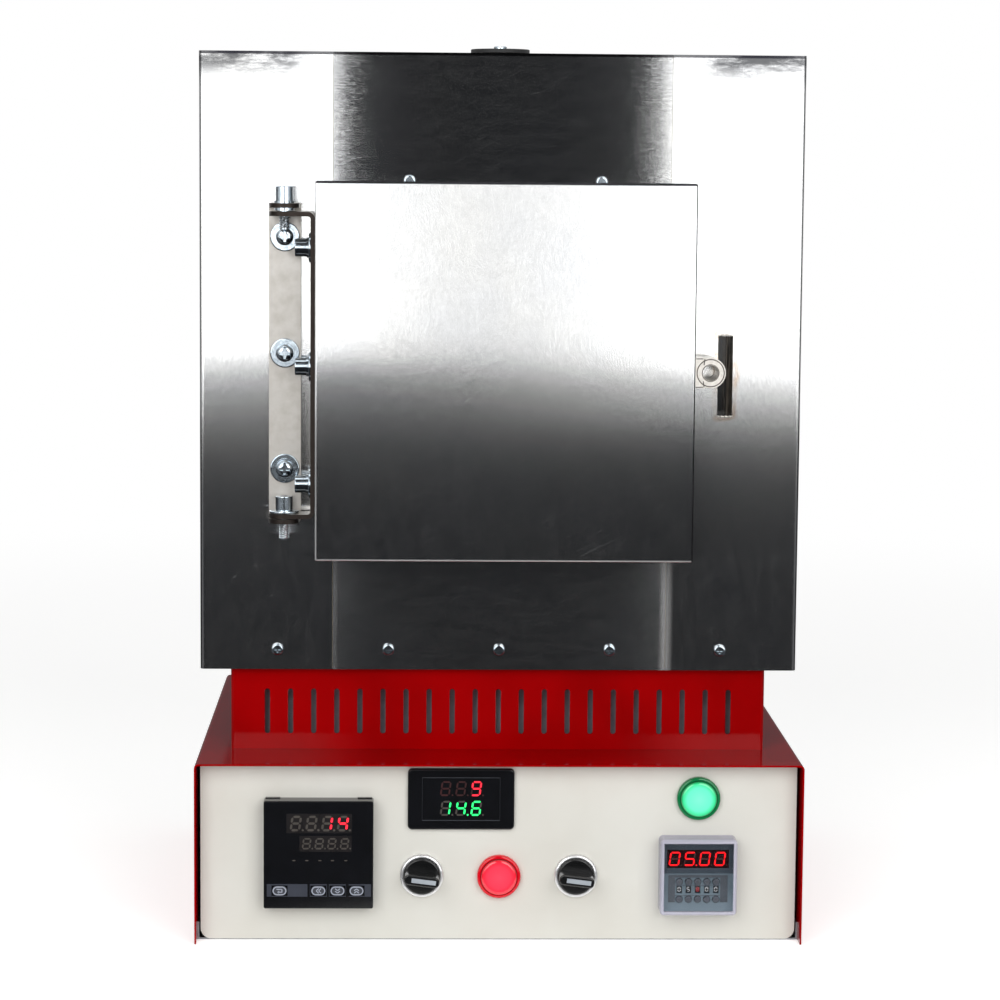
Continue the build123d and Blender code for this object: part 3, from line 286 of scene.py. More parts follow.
def brushed_steel(name, upright, marks, edge, depth=0.022, polish=0.165):
    """Belt-brushed stainless: grain lines a fraction of a millimetre apart stretch highlights across them."""
    material, add, shader, place = finish(name, {"Metallic": 1.0, "Anisotropic": 1.0})
    # Real grain is 0.1 mm wide. It is drawn 0.45 mm wide, its grooves 0.25 mm, so that it shows.
    long_way = np.array((1, 1, 28) if upright else (28, 28, 1))
    grain = add("TexNoise", add("VectorMath DIVIDE", place, tuple(0.45 * long_way)), 1.0, 2.0, 0.6)
    groove = add("TexNoise", add("VectorMath DIVIDE", place, tuple(0.25 * long_way)), 1.0, 1.0)
    speck = add("TexNoise", place, 1 / 0.6, 1.0, 0.5)
    cloud = add("TexNoise", place, 1 / 70)
    axes = add("SeparateXYZ", place).node.outputs
    rubbed = marks(add, place, axes)
    # Rubbed places have lost their grain, so they are duller.
    rough = add("MapRange", grain, 0.3, 0.7, polish - 0.007, polish + 0.007)
    feed(shader, "Roughness", add("Math MULTIPLY_ADD", rubbed, 0.12, rough))
    # Wiping leaves a film in blotches 5 mm by 20 mm, and fine dust lies in specks: both scatter a
    # little light where the steel mirrors something dark.
    film_size = (5.0, 5.0, 20.0) if upright else (20.0, 20.0, 5.0)
    film = add("TexNoise", add("VectorMath DIVIDE", place, film_size), 1.0, 4.0, 0.7)
    film = add("MapRange", film, 0.42, 0.7, 0.0, 0.012)
    dust = add("MapRange", speck, 0.52, 0.66, 0.0, 0.04)
    # Long thin scratches lie across the grain at random, one or two in a hand's breadth.
    slanted = add("VectorRotate Y_AXIS", place, named={"Angle": 0.5})
    scratch = add("TexNoise", add("VectorMath DIVIDE", slanted, (66.0, 66.0, 1.1)), 1.0, 0.0, 0.5)
    scratch = add("Math ABSOLUTE", add("Math SUBTRACT", scratch, 0.7))
    scratch = add("MapRange", scratch, 0.0, 0.01, 1.0, 0.0)
    haze = add("Math MULTIPLY_ADD", scratch, 0.05, add("Math ADD", film, dust))
    feed(shader, "Metallic", add("Math SUBTRACT", 1.0, haze))
    normal = add("NewGeometry").node.outputs["True Normal"]
    grain_way = (0.0, 0.03, 1.0) if upright else (1.0, 0.03, 0.0)
    feed(shader, "Tangent", add("VectorMath CROSS_PRODUCT", normal, grain_way))
    two_tone(shader, cloud, "#eeeeec", "#e8e9ea")
    cover(shader, add("MapRange", speck, 0.38, 0.62, 0.0, 0.3), "#a2a4a7")
    cover(shader, add("MapRange", grain, 0.35, 0.65, 0.0, 0.3), "#b4b5b7")
    cover(shader, add("Math MULTIPLY", scratch, 0.5), "#ffffff")
    cover(shader, add("Math MULTIPLY", rubbed, 0.92), "#2c2d30")
    # Painted shade: a dark blue-black line along the cut and folded edges.
    cover(shader, edge(add, axes), "#15141d")
    feed(shader, "Normal", add("Bump", 0.9, depth * MM, named={"Height": groove}))
    return material, add, shader, place, axes


def box_marks(add, place, axes):
    """Rubbed places of the chamber box: along the two welded seams and in swirls under the top edge."""
    from_middle = add("Math ABSOLUTE", axes["X"])
    seam = soft_band(add, from_middle, seam_x, 1.5, 4.0)
    swirl = add("TexNoise", add("VectorMath DIVIDE", place, (36.0, 36.0, 9.0)), 1.0, 4.0, 0.7)
    swirl = add("MapRange SMOOTHSTEP", swirl, 0.3, 0.6, 0.2, 1.0)
    under_top = add("MapRange SMOOTHSTEP", axes["Z"], box_top - 26.0, box_top - 4.0)
    # The swirls stop short of the seams and wrap a little way round the corners.
    outer = add("MapRange SMOOTHSTEP", from_middle, seam_x + 6.0, seam_x + 32.0)
    ahead = add("MapRange SMOOTHSTEP", axes["Y"], box_front + 0.5, box_front + 34.5, 1.0, 0.0)
    patch = add("Math MULTIPLY", add("Math MULTIPLY", swirl, under_top), add("Math MULTIPLY", outer, ahead))
    return add("Math MAXIMUM", add("Math MULTIPLY", seam, 0.1), patch, use_clamp=True)


def no_marks(add, place, axes):
    """A sheet with no rubbed place, only a trace of cloudiness."""
    return add("MapRange SMOOTHSTEP", add("TexNoise", place, 1 / 60), 0.4, 0.8, 0.0, 0.05)


def front_marks(add, place, axes):
    """Rubbed places of the middle sheet: a soft upright patch near its right edge, over the door."""
    streak = add("TexNoise", add("VectorMath DIVIDE", place, (1.2, 1.2, 18.0)), 1.0, 2.0, 0.5)
    streak = add("MapRange", streak, 0.3, 0.7, 0.5, 1.0)
    beside_seam = soft_band(add, axes["X"], seam_x - 14.5, 2.0, 10.0)
    over_door = soft_band(add, axes["Z"], box_top - 49.5, 18.0, 22.0)
    near = add("Math MULTIPLY", beside_seam, over_door)
    return add("Math MULTIPLY", streak, add("Math MULTIPLY", near, 0.25))


def no_fold_shade(add, axes):
    """No painted shade line along the folds."""
    return 0.0


def door_fold_shade(add, axes):
    """Mask of the painted shade line: 1 along the folds at the top and the right of the door."""
    upper = add("MapRange", axes["Z"], door_high[2] - 1.8, door_high[2] - 1.4)
    right = add("MapRange", axes["X"], door_high[0] - 1.1, door_high[0] - 0.8)
    return add("Math MULTIPLY", add("Math MAXIMUM", upper, right), 0.95)


def box_fold_shade(add, axes):
    """Mask of the painted shade line: 1 along the outer folds of the chamber box and its top edge, on its front
    alone.
    """
    fold = add("MapRange", add("Math ABSOLUTE", axes["X"]), box_side - 1.5, box_side - 1.1)
    upper = add("MapRange", axes["Z"], box_top - 2.1, box_top - 1.7)
    front = add("MapRange", axes["Y"], box_front + 1.1, box_front + 2.1, 1.0, 0.0)
    return add("Math MULTIPLY", add("Math MAXIMUM", fold, upper), add("Math MULTIPLY", front, 0.85))


def seam_haze(add, axes):
    """Haze of both sheets where their right seam was ground flat, stronger below the door."""
    fading = add("MapRange", axes["Z"], haze_low, haze_high, 0.27, 0.03)
    return add("Math MULTIPLY", soft_band(add, axes["X"], seam_x, 0.3, 5.2), fading)


def shell_steel():
    """The two side shells: upright grain, rubbed seams, the marks of heat round the latch slot, and painted
    shade in the pocket inside it.
    """
    material, add, shader, place, axes = brushed_steel("brushed_stainless_upright", True, box_marks, box_fold_shade)
    # How far a point lies outside the slot's outline
    off = []
    for key, centre, half in (("X", slot_x, slot_half_w), ("Z", slot_z, slot_half_h)):
        span = add("Math ABSOLUTE", add("Math SUBTRACT", axes[key], centre))
        off.append(add("Math MAXIMUM", add("Math SUBTRACT", span, half), 0.0))
    outside = add("CombineXYZ", off[0], 0.0, off[1])
    uneven = add("MapRange", add("TexNoise", place, 1 / 8), 0.3, 0.7, -1.0, 1.0)
    away = add("Math ADD", add("VectorMath LENGTH", outside), uneven)
    # Heat from behind the slot has straw-tinted the steel a little way off its edge.
    at_face = add("MapRange", axes["Y"], box_front + 0.2, box_front + 0.5, 1.0, 0.0)
    patchy = add("MapRange SMOOTHSTEP", add("TexNoise", place, 1 / 14), 0.35, 0.6, 0.1, 0.42)
    straw = add("Math MULTIPLY", soft_band(add, away, 1.4, 0.7, 2.6), add("Math MULTIPLY", at_face, patchy))
    # Painted shade: the pocket inside the slot is painted near black and made matt, darkest at its left; the
    # ribs of the rough cut show lighter at its right.
    behind_face = add("MapRange", axes["Y"], box_front + 0.3, box_front + 0.9)
    inside = add("Math MULTIPLY", behind_face, add("MapRange", away, 2.5, 4.0, 1.0, 0.0))
    ribs = add("TexNoise", add("VectorMath DIVIDE", place, (0.8, 0.8, 16.0)), 1.0, 1.0)
    ribs = add("MapRange", ribs, 0.35, 0.65, 0.1, 1.0)
    ribs = add("Math MULTIPLY", ribs, add("MapRange", axes["X"], slot_x - 0.5, slot_x + 3.0))
    pocket_shade = add("Mix RGBA", ribs, "#030303", "#8a8074")
    cover(shader, straw, "#b98f5c")
    cover(shader, inside, pocket_shade)
    hazy = add("Math MULTIPLY", seam_haze(add, axes), at_face)
    bare = add("Math SUBTRACT", fed(shader, "Metallic"), hazy)
    pocket_shade_matt = add("MapRange", inside, 0.0, 1.0, 1.0, 0.05)
    feed(shader, "Metallic", add("Math MULTIPLY", bare, pocket_shade_matt))
    return material


def grey_steel():
    """The back and the door liner: level grain on a greyer sheet."""
    surface = "brushed_stainless_level", False, no_marks, no_fold_shade, 0.017, 0.19
    material, _, shader, _, _ = brushed_steel(*surface)
    cover(shader, 0.5, "#9c9ea1")
    return material


def front_steel():
    """The middle sheet: level grain that mirrors the dark between the lamps, and haze along both seams."""
    surface = "brushed_stainless_front", False, front_marks, box_fold_shade, 0.0066, 0.1
    material, add, shader, _, axes = brushed_steel(*surface)
    fading = add("MapRange", axes["Z"], haze_low, haze_high, 0.06, 0.0)
    left = add("Math MULTIPLY", soft_band(add, axes["X"], 1.5 - seam_x, 0.5, 2.0), fading)
    haze = add("Math ADD", seam_haze(add, axes), left)
    feed(shader, "Metallic", add("Math SUBTRACT", fed(shader, "Metallic"), haze))
    return material


def door_steel():
    """The door pan: upright grain that spreads both lamps over its whole width, and a painted highlight along
    two folds.
    """
    surface = "brushed_stainless_door", True, no_marks, door_fold_shade, 0.018, 0.137
    material, add, shader, _, axes = brushed_steel(*surface)
    # Painted highlight: the left and the lower fold are made partly matt, so they show as light lines.
    left_fold_highlight = soft_band(add, axes["X"], door_low[0] + 0.7, 0.3, 0.4)
    low_fold_highlight = soft_band(add, axes["Z"], door_low[2] + 0.8, 0.3, 0.4)
    bright = add("Math MULTIPLY", add("Math MAXIMUM", left_fold_highlight, low_fold_highlight), 0.3)
    feed(shader, "Metallic", add("Math SUBTRACT", fed(shader, "Metallic"), bright))
    return material


def plain_metal(name, colour, second, roughness, spot, depth, metallic=1.0):
    """A bare or plated metal with a fine uneven skin: blots of two shades and a shallow bump."""
    material, add, shader, place = finish(name, {"Metallic": metallic})
    blot = add("TexNoise", place, 1 / spot, 3.0)
    skin = add("TexNoise", place, 2.5 / spot, 2.0)
    two_tone(shader, blot, colour, second)
    feed(shader, "Roughness", add("MapRange", blot, 0.3, 0.7, roughness * 0.8, roughness * 1.25))
    feed(shader, "Normal", add("Bump", 0.5, depth * MM, named={"Height": skin}))
    return material, add, shader, place


def hinge_steel():
    """Hot-rolled hinge bar: warm and dull, with painted shade: the sheared edges that face the front are
    painted dark.
    """
    surface = "hot_rolled_stainless_bar", "#bcb9b4", "#b4b0aa", 0.45, 8.0, 0.008
    material, add, shader, place = plain_metal(*surface)
    normal = add("SeparateXYZ", add("NewGeometry").node.outputs["True Normal"]).node.outputs
    axes = add("SeparateXYZ", place).node.outputs
    # Painted shade: faces that look to the front, ahead of the sheet, are painted near black.
    facing = add("MapRange", normal["Y"], -0.25, -0.1, 1.0, 0.0)
    off_sheet = add("MapRange", axes["Y"], box_front - 4.5, box_front - 3.5, 1.0, 0.0)
    cover(shader, add("Math MULTIPLY", add("Math MULTIPLY", facing, off_sheet), 0.97), "#2a2320")
    return material


def bolt_plate():
    """Bright zinc plate: cold, almost a mirror, with painted shade: its flanks and undersides are painted
    darker.
    """
    material, add, shader, _ = plain_metal("bright_zinc_plate", "#c6d1d9", "#b2bec8", 0.15, 2.0, 0.0008)
    normal = add("SeparateXYZ", add("NewGeometry").node.outputs["Normal"]).node.outputs
    # Painted shade on the flanks and the undersides, by the way each face turns.
    flank_shade = add("MapRange", add("Math ABSOLUTE", normal["X"]), 0.68, 0.9, 0.0, 0.93)
    under = add("MapRange", normal["Z"], -0.7, -0.35, 0.9, 0.0)
    cover(shader, add("Math MAXIMUM", flank_shade, under), "#1c2229")
    return material


def panel_ring():
    """Satin plated rings. Those of the two lamps are moulded in the colour of their lens and glow a little."""
    material, add, shader, place = plain_metal("satin_plated_ring", "#e4e4e5", "#d8d9da", 0.3, 4.0, 0.002)
    ring_reach = 17.0
    shade = fed(shader, "Base Color")
    near = []
    for node, colour in (("heating_lens", "#c80a1c"), ("power_lens", "#0f6a3c")):
        span = add("VectorMath DISTANCE", place, tuple(middle(node)))
        near.append(add("MapRange", span, ring_reach, ring_reach + 1.0, 1.0, 0.0))
        shade = add("Mix RGBA", near[-1], shade, colour)
    moulding = add("Math MAXIMUM", *near)
    feed(shader, "Base Color", shade)
    feed(shader, "Emission Color", shade)
    feed(shader, "Emission Strength", add("Math MULTIPLY", moulding, 0.22))
    feed(shader, "Metallic", add("Math SUBTRACT", 1.0, moulding))
    feed(shader, "Roughness", add("Math MULTIPLY_ADD", moulding, -0.3, fed(shader, "Roughness")))
    return material


def moulded(name, colour, second, roughness, texture, depth, ior=1.5):
    """Moulded plastic, rubber, paint or ink: an even colour with a fine texture of a size in millimetres."""
    material, add, shader, place = finish(name, {"Roughness": roughness, "IOR": ior})
    blot = add("TexNoise", place, 1 / 12)
    skin = add("TexNoise", place, 1 / texture)
    two_tone(shader, blot, colour, second)
    feed(shader, "Normal", add("Bump", 0.5, depth * MM, named={"Height": skin}))
    return material, add, shader, place


def fired(name, colour, second, pore, depth, fibre=(1, 1, 1)):
    """Brick, fibre board or cast refractory: chalky, pitted by pores of a size, or felted along a direction."""
    material, add, shader, place = finish(name, {"Roughness": 0.92, "IOR": 1.5})
    grains = add("TexNoise", add("VectorMath DIVIDE", place, tuple(pore * np.array(fibre))), 1.0, 4.0, 0.65)
    cloud = add("TexNoise", place, 1 / 25, 3.0)
    two_tone(shader, cloud, colour, second)
    cover(shader, add("MapRange SMOOTHSTEP", grains, 0.33, 0.42, 0.7, 0.0), "#7d6f5d")
    feed(shader, "Normal", add("Bump", 0.9, depth * MM, named={"Height": grains}))
    return material


def smoked_acrylic():
    """Display windows: nearly black acrylic. The timer has red acrylic, almost black over unlit digits."""
    material, add, shader, place = moulded("smoked_acrylic_window", "#0f1014", "#0d0e11", 0.2, 3.0, 0.001, 1.49)
    axes = add("SeparateXYZ", place).node.outputs
    tint_x = timer_low[0] - 27.4
    cover(shader, add("MapRange", axes["X"], tint_x, tint_x + 10.0), "#1d0305")
    return material


def timer_front():
    """Timer front: a slate band behind the digits over a blue-grey field, paler towards its lower edge."""
    material, add, shader, place = moulded("two_tone_timer_front", "#5a6b76", "#53636d", 0.4, 0.5, 0.004)
    axes = add("SeparateXYZ", place).node.outputs
    band_low = timer_low[2] + 25.2
    pale = add("MapRange", axes["Z"], timer_low[2] + 0.2, timer_low[2] + 16.2, 0.5, 0.0)
    upper = add("MapRange", axes["Z"], band_low, band_low + 0.4)
    cover(shader, pale, "#8595a0")
    cover(shader, upper, "#2c3742")
    return material


def lamp_lens(name, node, stops):
    """Lit lens of a pilot lamp: ramp stops give its colour from the bright middle out to its dark rim."""
    values = {"Roughness": 0.12, "IOR": 1.49, "Coat Weight": 0.5, "Emission Strength": 0.85}
    material, add, shader, place = finish(name, values)
    centre, radius = middle(node), (high(node) - low(node))[0] / 2
    flat = add("VectorMath MULTIPLY", add("VectorMath SUBTRACT", place, tuple(centre)), (1.0, 0.0, 1.0))
    from_middle = add("Math DIVIDE", add("VectorMath LENGTH", flat), radius)
    glow = add("ValToRGB", from_middle, stops=stops)
    feed(shader, "Emission Color", glow)
    feed(shader, "Base Color", add("Mix RGBA", 0.75, glow, "#000000"))
    ripple = add("TexNoise", place, 1 / 2, 1.0)
    feed(shader, "Normal", add("Bump", 0.5, 0.003 * MM, named={"Height": ripple}))
    return material


def styrene():
    """Clear styrene cover: nearly clear where it is flat, milky and lilac at its thick rim."""
    material, add, shader, place = finish("clear_styrene_cover", {"Roughness": 0.08, "IOR": 1.59})
    centre, half = middle("timer_cover"), (high("timer_cover") - low("timer_cover")) / 2
    axes = add("SeparateXYZ", place).node.outputs
    rims = []
    for key, index in (("X", 0), ("Z", 2)):
        off = add("Math ABSOLUTE", add("Math SUBTRACT", axes[key], centre[index]))
        rims.append(add("MapRange SMOOTHSTEP", off, half[index] - 2.9, half[index] - 2.2))
    haze = add("TexNoise", place, 1 / 5)
    feed(shader, "Base Color", add("Mix RGBA", haze, "#dcdaea", "#cfcde0"))
    milky = add("Math MULTIPLY", add("Math MAXIMUM", *rims), 0.5)
    feed(shader, "Alpha", add("Math MULTIPLY_ADD", haze, 0.006, milky))
    feed(shader, "Normal", add("Bump", 0.4, 0.01 * MM, named={"Height": haze}))
    return material


def lit_segment(name, colour):
    """A lit plastic window: it shows its own colour, a little uneven where the light behind it spreads."""
    material, add, shader, place = finish(name, {"Roughness": 0.25, "IOR": 1.5, "Emission Strength": 1.0})
    uneven = add("MapRange", add("TexNoise", place, 1 / 1.2, 1.0), 0.3, 0.7, 0.85, 1.0)
    shade = add("Mix RGBA", uneven, "#000000", colour)
    feed(shader, "Base Color", shade)
    feed(shader, "Emission Color", shade)
    return material


# Sheet metal: glossy red and satin cream powder coat, brushed stainless, and dull spangled zinc.
red_coat = powder_coat("red_powder_coat", "#9c0003", "#8c0002", 0.1, 0.006)
cream_coat = powder_coat("cream_powder_coat", "#dbdad3", "#d6d4cc", 0.42, 0.012)
steel_upright, steel_level, steel_front, steel_door = shell_steel(), grey_steel(), front_steel(), door_steel()
# The top has gone dull with heat.
steel_top = plain_metal("heat_dulled_stainless", "#7f8184", "#777a7d", 0.42, 3.0, 0.003)[0]
zinc_sheet = plain_metal("galvanised_sheet", "#9a9c9e", "#84878b", 0.38, 9.0, 0.01)[0]
# The sheet behind the slots is weathered dull, so it scatters what light the slots let in.
dull_sheet = plain_metal("weathered_galvanised_sheet", "#aeb3bd", "#9ea3ae", 0.5, 9.0, 0.01, 0.2)[0]
# Bars, bolts and wire: turned steel is pale and satin, rolled threads are duller than the plated
# heads, and the wire has a matt brown oxide skin.
hinge_bar, bright_zinc, satin_ring = hinge_steel(), bolt_plate(), panel_ring()
latch_steel = plain_metal("turned_bare_steel", "#e0dcd6", "#d0ccc5", 0.42, 2.0, 0.008)[0]
thread_zinc = plain_metal("rolled_zinc_thread", "#dce3e8", "#ccd5dc", 0.25, 2.0, 0.0008)[0]
element_skin = plain_metal("oxidised_resistance_wire", "#5c4c44", "#3d332f", 0.6, 1.2, 0.02)[0]
# Dark lines on the latch barrel: painted shadow in its grooves, soot in its weld joints, and painted shade
# along the edges of its tab.
groove_grey = moulded("shadowed_turned_groove", "#5e554d", "#4e4640", 0.6, 0.6, 0.004)[0]
joint_soot_and_edge_shade = moulded("weld_soot_and_tab_edge_shade", "#3a3430", "#2c2724", 0.7, 0.6, 0.01)[0]
# Paint and mouldings: matt black heat paint, glossy black cases and knobs, and duller rubber and nylon.
heat_black = moulded("matt_black_heat_paint", "#1b1b1c", "#141415", 0.62, 0.8, 0.02)[0]
black_abs = moulded("moulded_black_abs", "#0f1014", "#0c0d10", 0.2, 0.5, 0.002)[0]
knob_black = moulded("glossy_black_nylon", "#121314", "#0e0f10", 0.22, 0.8, 0.003)[0]
key_slate = moulded("slate_silicone_key", "#33363f", "#2c2f37", 0.5, 0.5, 0.004)[0]
gland_black = moulded("black_nylon_gland", "#1d1d1e", "#161617", 0.45, 0.6, 0.008)[0]
relay_grey = moulded("cream_polyester_moulding", "#c9c7bd", "#bdbbb1", 0.5, 0.8, 0.008)[0]
wheel_black = moulded("black_acetal_wheel", "#0d0e0f", "#0b0c0d", 0.35, 0.4, 0.003)[0]
step_grey = moulded("blue_grey_step_key", "#4a505a", "#41464f", 0.45, 0.4, 0.004)[0]
smoked, timer_face, clear_cover = smoked_acrylic(), timer_front(), styrene()
# Furnace lining: coarse-pored brick, felted fibre board, fine cast plates and woven tape, all chalky.
brick_face = fired("insulating_firebrick", "#d8cbb4", "#cdbfa6", 1.1, 0.5)
board_face = fired("ceramic_fibre_board", "#e6e3da", "#dedacf", 0.7, 0.25, (6, 6, 1))
cast_face = fired("cast_refractory", "#c9b79c", "#bcaa8f", 0.8, 0.2)
tape_weave = fired("woven_ceramic_tape", "#dfdbd0", "#d3cec1", 0.9, 0.35, (2, 1, 1))
# Lit lenses and segments show their own light; unlit ones are a shade above the dark window.
red_lens = lamp_lens("lit_red_lens", "heating_lens", ((0.0, "#ff4b62"), (0.6, "#ff4058"), (0.86, "#ff2a40"),
                                                      (0.93, "#e5152a"), (0.97, "#8a0410"), (1.0, "#5e0208")))
green_lens = lamp_lens("lit_green_lens", "power_lens", ((0.0, "#86ffd8"), (0.65, "#6fffcf"), (0.86, "#3fe89c"),
                                                        (0.93, "#1fae68"), (0.97, "#0a6a3a"), (1.0, "#04401f")))
red_light = lit_segment("lit_red_segment", "#ff2a3c")
timer_light = lit_segment("lit_timer_segment", "#ff0a14")
green_light = lit_segment("lit_green_segment", "#2dff7e")
dim_segment = moulded("unlit_segment", "#48433e", "#403b37", 0.4, 0.6, 0.002)[0]
dim_timer = moulded("unlit_timer_segment", "#3c080b", "#340709", 0.4, 0.6, 0.002)[0]
dim_red = moulded("unlit_red_segment", "#360a0c", "#2e080a", 0.4, 0.6, 0.002)[0]
# Screen inks and films: satin, laid a few hundredths of a millimetre thick.
white_ink = moulded("white_screen_ink", "#c9ccd2", "#bfc2c8", 0.5, 0.5, 0.003)[0]
red_ink = moulded("red_screen_ink", "#c8323c", "#b82c36", 0.5, 0.5, 0.003)[0]
silver_ink = moulded("silver_screen_ink", "#a9aeba", "#9aa0ae", 0.35, 0.6, 0.003)[0]
stripe_grey = moulded("pale_grey_insert", "#aab1b8", "#9da4ac", 0.3, 0.6, 0.002)[0]
frame_line = moulded("dark_grey_frame_line", "#3c3f46", "#363940", 0.4, 0.6, 0.002)[0]
pane_film = moulded("smoked_display_pane", "#232122", "#1f1d1e", 0.2, 3.0, 0.001)[0]
slate_film = moulded("slate_key_film", "#363a45", "#30343e", 0.35, 0.8, 0.003)[0]
recess_grey = moulded("grey_switch_field", "#434a52", "#3b4149", 0.45, 0.5, 0.004)[0]

# The words that the names of the nodes start with, for each finish
worn_by = {
    red_coat: "base_cover plinth_skirt", cream_coat: "control_panel", zinc_sheet: "base_tray bottom_sheet",
    dull_sheet: "plinth_baffle", steel_upright: "left_shell right_shell", steel_door: "door_shell",
    steel_front: "front_sheet", steel_top: "top_sheet", steel_level: "rear_panel door_liner",
    gland_black: "cord_gland", relay_grey: "base_electrics", latch_steel: "latch_barrel",
    bright_zinc: "case_screws door_leaf_bolts hinge_bolts", satin_ring: "panel_bezels",
    hinge_bar: "box_hinge_leaf door_hinge_leaf vent_tube", heat_black: "vent_cap",
    brick_face: "mouth_bricks", board_face: "insulation_boards door_plug", tape_weave: "door_gasket",
    cast_face: "element_plates hearth_tile thermocouple", element_skin: "heating_elements",
    black_abs: "controller_case meter_case", timer_face: "timer_case", smoked: "display_windows",
    knob_black: "heating_knob timing_knob", red_lens: "heating_lens", green_lens: "power_lens",
    clear_cover: "timer_cover", key_slate: "controller_key", wheel_black: "timer_wheel",
    step_grey: "timer_plus timer_minus",
}
for name, node in nodes.items():
    node.data.materials.clear()
    for material, words in worn_by.items():
        if name.startswith(tuple(words.split())):
            node.data.materials.append(material)


# Temperature controller

raised = 0.12
front = case_low[1]
controller_x, _, controller_z = middle("controller_case")


def digits(name, text, dots, place, pitch, size, thick, y, lights, slot):
    """Two pieces, lit and unlit: a row of digits, each with a round point after it, lit where dots says so."""
    x, z = place
    width, height = size
    lit, dark = digit_segments(text, x, z, pitch, width, height, thick, LEAN)
    after = np.arange(len(text)) - (len(text) - 1) / 2 + 0.5
    point_x = x + after * pitch - LEAN * height / 2 + 0.1
    point_z = np.full(len(text), z - height / 2 + thick / 2)
    turn = np.linspace(0, 2 * math.pi, 6, endpoint=False)
    disc = thick * 0.55 * np.column_stack((np.cos(turn), np.sin(turn)))
    for index, spot in enumerate(np.column_stack((point_x, point_z))[:, None] + disc):
        (lit if index in dots else dark).append(spot)
    if lit:
        proud(name + "_lit", lit, y, raised, lights[0], slot)
    proud(name + "_unlit", dark, y, raised, lights[1], "dark_window")


# A slightly paler pane lies behind each row of digits.
panes = [rectangle(case_low[0] + 15.0, case_low[0] + 58.0, case_low[2] + 50.6, case_low[2] + 63.6),
         rectangle(case_low[0] + 23.6, case_low[0] + 57.8, case_low[2] + 38.2, case_low[2] + 48.8)]
proud("controller_panes", panes, front, 0.04, pane_film, "dark_window")
digits("controller_upper_digits", "  14", (), (controller_x + 0.6, controller_z + 21.1), 10.3, (7.0, 10.4), 1.5,
       front, (red_light, dim_segment), "red_lens")
digits("controller_lower_digits", "    ", (), (controller_x + 4.7, controller_z + 7.6), 8.3, (5.6, 7.6), 1.05,
       front, (red_light, dim_segment), "red_lens")
pilots = [stadium(controller_x + x, controller_z - 3.7, 2.2, 0.7, 5) for x in (-16.1, -7.6, 1.0, 9.2, 18.0)]
proud("controller_pilot_lamps", pilots, front, raised, dim_segment, "dark_window")

# A slate film runs behind the keys in four lengths, each with an opening for its key.
key_nodes = ["controller_key_" + name for name in ("set", "shift", "down", "up")]
film_spans = ((2.1, 28.8), (30.4, 41.6), (42.9, 54.1), (56.0, 70.6))
film_low, film_high = case_low[2] + 8.1, case_low[2] + 16.5


def film_frame(x0, x1, key):
    """Bars round a key: the film from x0 to x1 with an opening at the key."""
    x, _, z = middle(key)
    left, right, lower, upper = x - 5.3, x + 5.3, z - 3.5, z + 3.5
    spans = [(x0, x1, film_low, lower), (x0, x1, upper, film_high), (x0, left, lower, upper),
             (right, x1, lower, upper)]
    return [rectangle(*span) for span in spans if span[1] - span[0] > 0.05]


def arrows(start, tip, end):
    """The two strokes of an arrowhead."""
    return [(start, tip), (tip, end)]


bars = []
for (start, end), node in zip(film_spans, key_nodes):
    bars += film_frame(case_low[0] + start, case_low[0] + end, node)
proud("controller_key_film", bars, front, 0.06, slate_film, "key_rubber")

# Each key has an oval ring and a plain arrow, as strokes from end to end about its middle.
symbols = {
    "set": [((-2.0, 1.0), (1.6, 1.0)), ((1.6, 1.0), (1.6, -0.9)), ((1.8, -0.9), (-1.2, -0.9)),
            ((-1.2, -0.9), (-0.3, -0.1)), ((-1.2, -0.9), (-0.3, -1.6))],
    "shift": arrows((0.2, 1.6), (-1.4, 0.0), (0.2, -1.6)) + arrows((1.8, 1.6), (0.2, 0.0), (1.8, -1.6)),
    "down": arrows((-1.6, 1.5), (0.0, 0.2), (1.6, 1.5)) + arrows((-1.6, -0.1), (0.0, -1.4), (1.6, -0.1)),
    "up": arrows((-1.6, 0.1), (0.0, 1.4), (1.6, 0.1)) + arrows((-1.6, -1.5), (0.0, -0.2), (1.6, -1.5)),
}
for node, name in zip(key_nodes, symbols):
    x, _, z = middle(node)
    y = low(node)[1]
    ring = ring_band(x, z, 9.1, 5.9, 0.75, y - 0.1, y + 0.15)
    make(name + "_key_ring", *ring, silver_ink, node, "bezel_metal")
    lines = np.asarray(symbols[name]) + (x, z)
    proud(name + "_key_symbol", strokes(lines, 0.65), y, 0.08, silver_ink, "bezel_metal", node, 0.1)

# Volt and amp meter: its window lies 1 mm behind its rim.
meter_y = meter_low[1] + 1.0
meter_x, _, meter_z = middle("meter_case")
digits("meter_upper_digits", "  9", (), (meter_x - 0.1, meter_z + 7.0), 10.1, (6.6, 10.0), 1.15,
       meter_y, (red_light, dim_red), "red_lens")
digits("meter_lower_digits", "146", (1,), (meter_x - 0.1, meter_z - 6.2), 10.1, (6.6, 10.0), 1.2,
       meter_y, (green_light, dim_segment), "green_lens")
frame_x = meter_low[0] + 9.4, meter_high[0] - 9.4
frame_z = meter_low[2] + 6.2, meter_high[2] - 6.2
sides = strokes(frame_sides(*frame_x, *frame_z, 0.3), 0.5)
proud("meter_frame_line", sides, meter_y, 0.06, frame_line, "dark_window")

# Timer
timer_y = timer_low[1]
timer_x, _, timer_z = middle("timer_case")
digits("timer_digits", "0500", (1,), (timer_x - 0.5, timer_z + 11.3), 10.0, (6.9, 9.4), 0.95,
       timer_y, (timer_light, dim_timer), "red_lens")
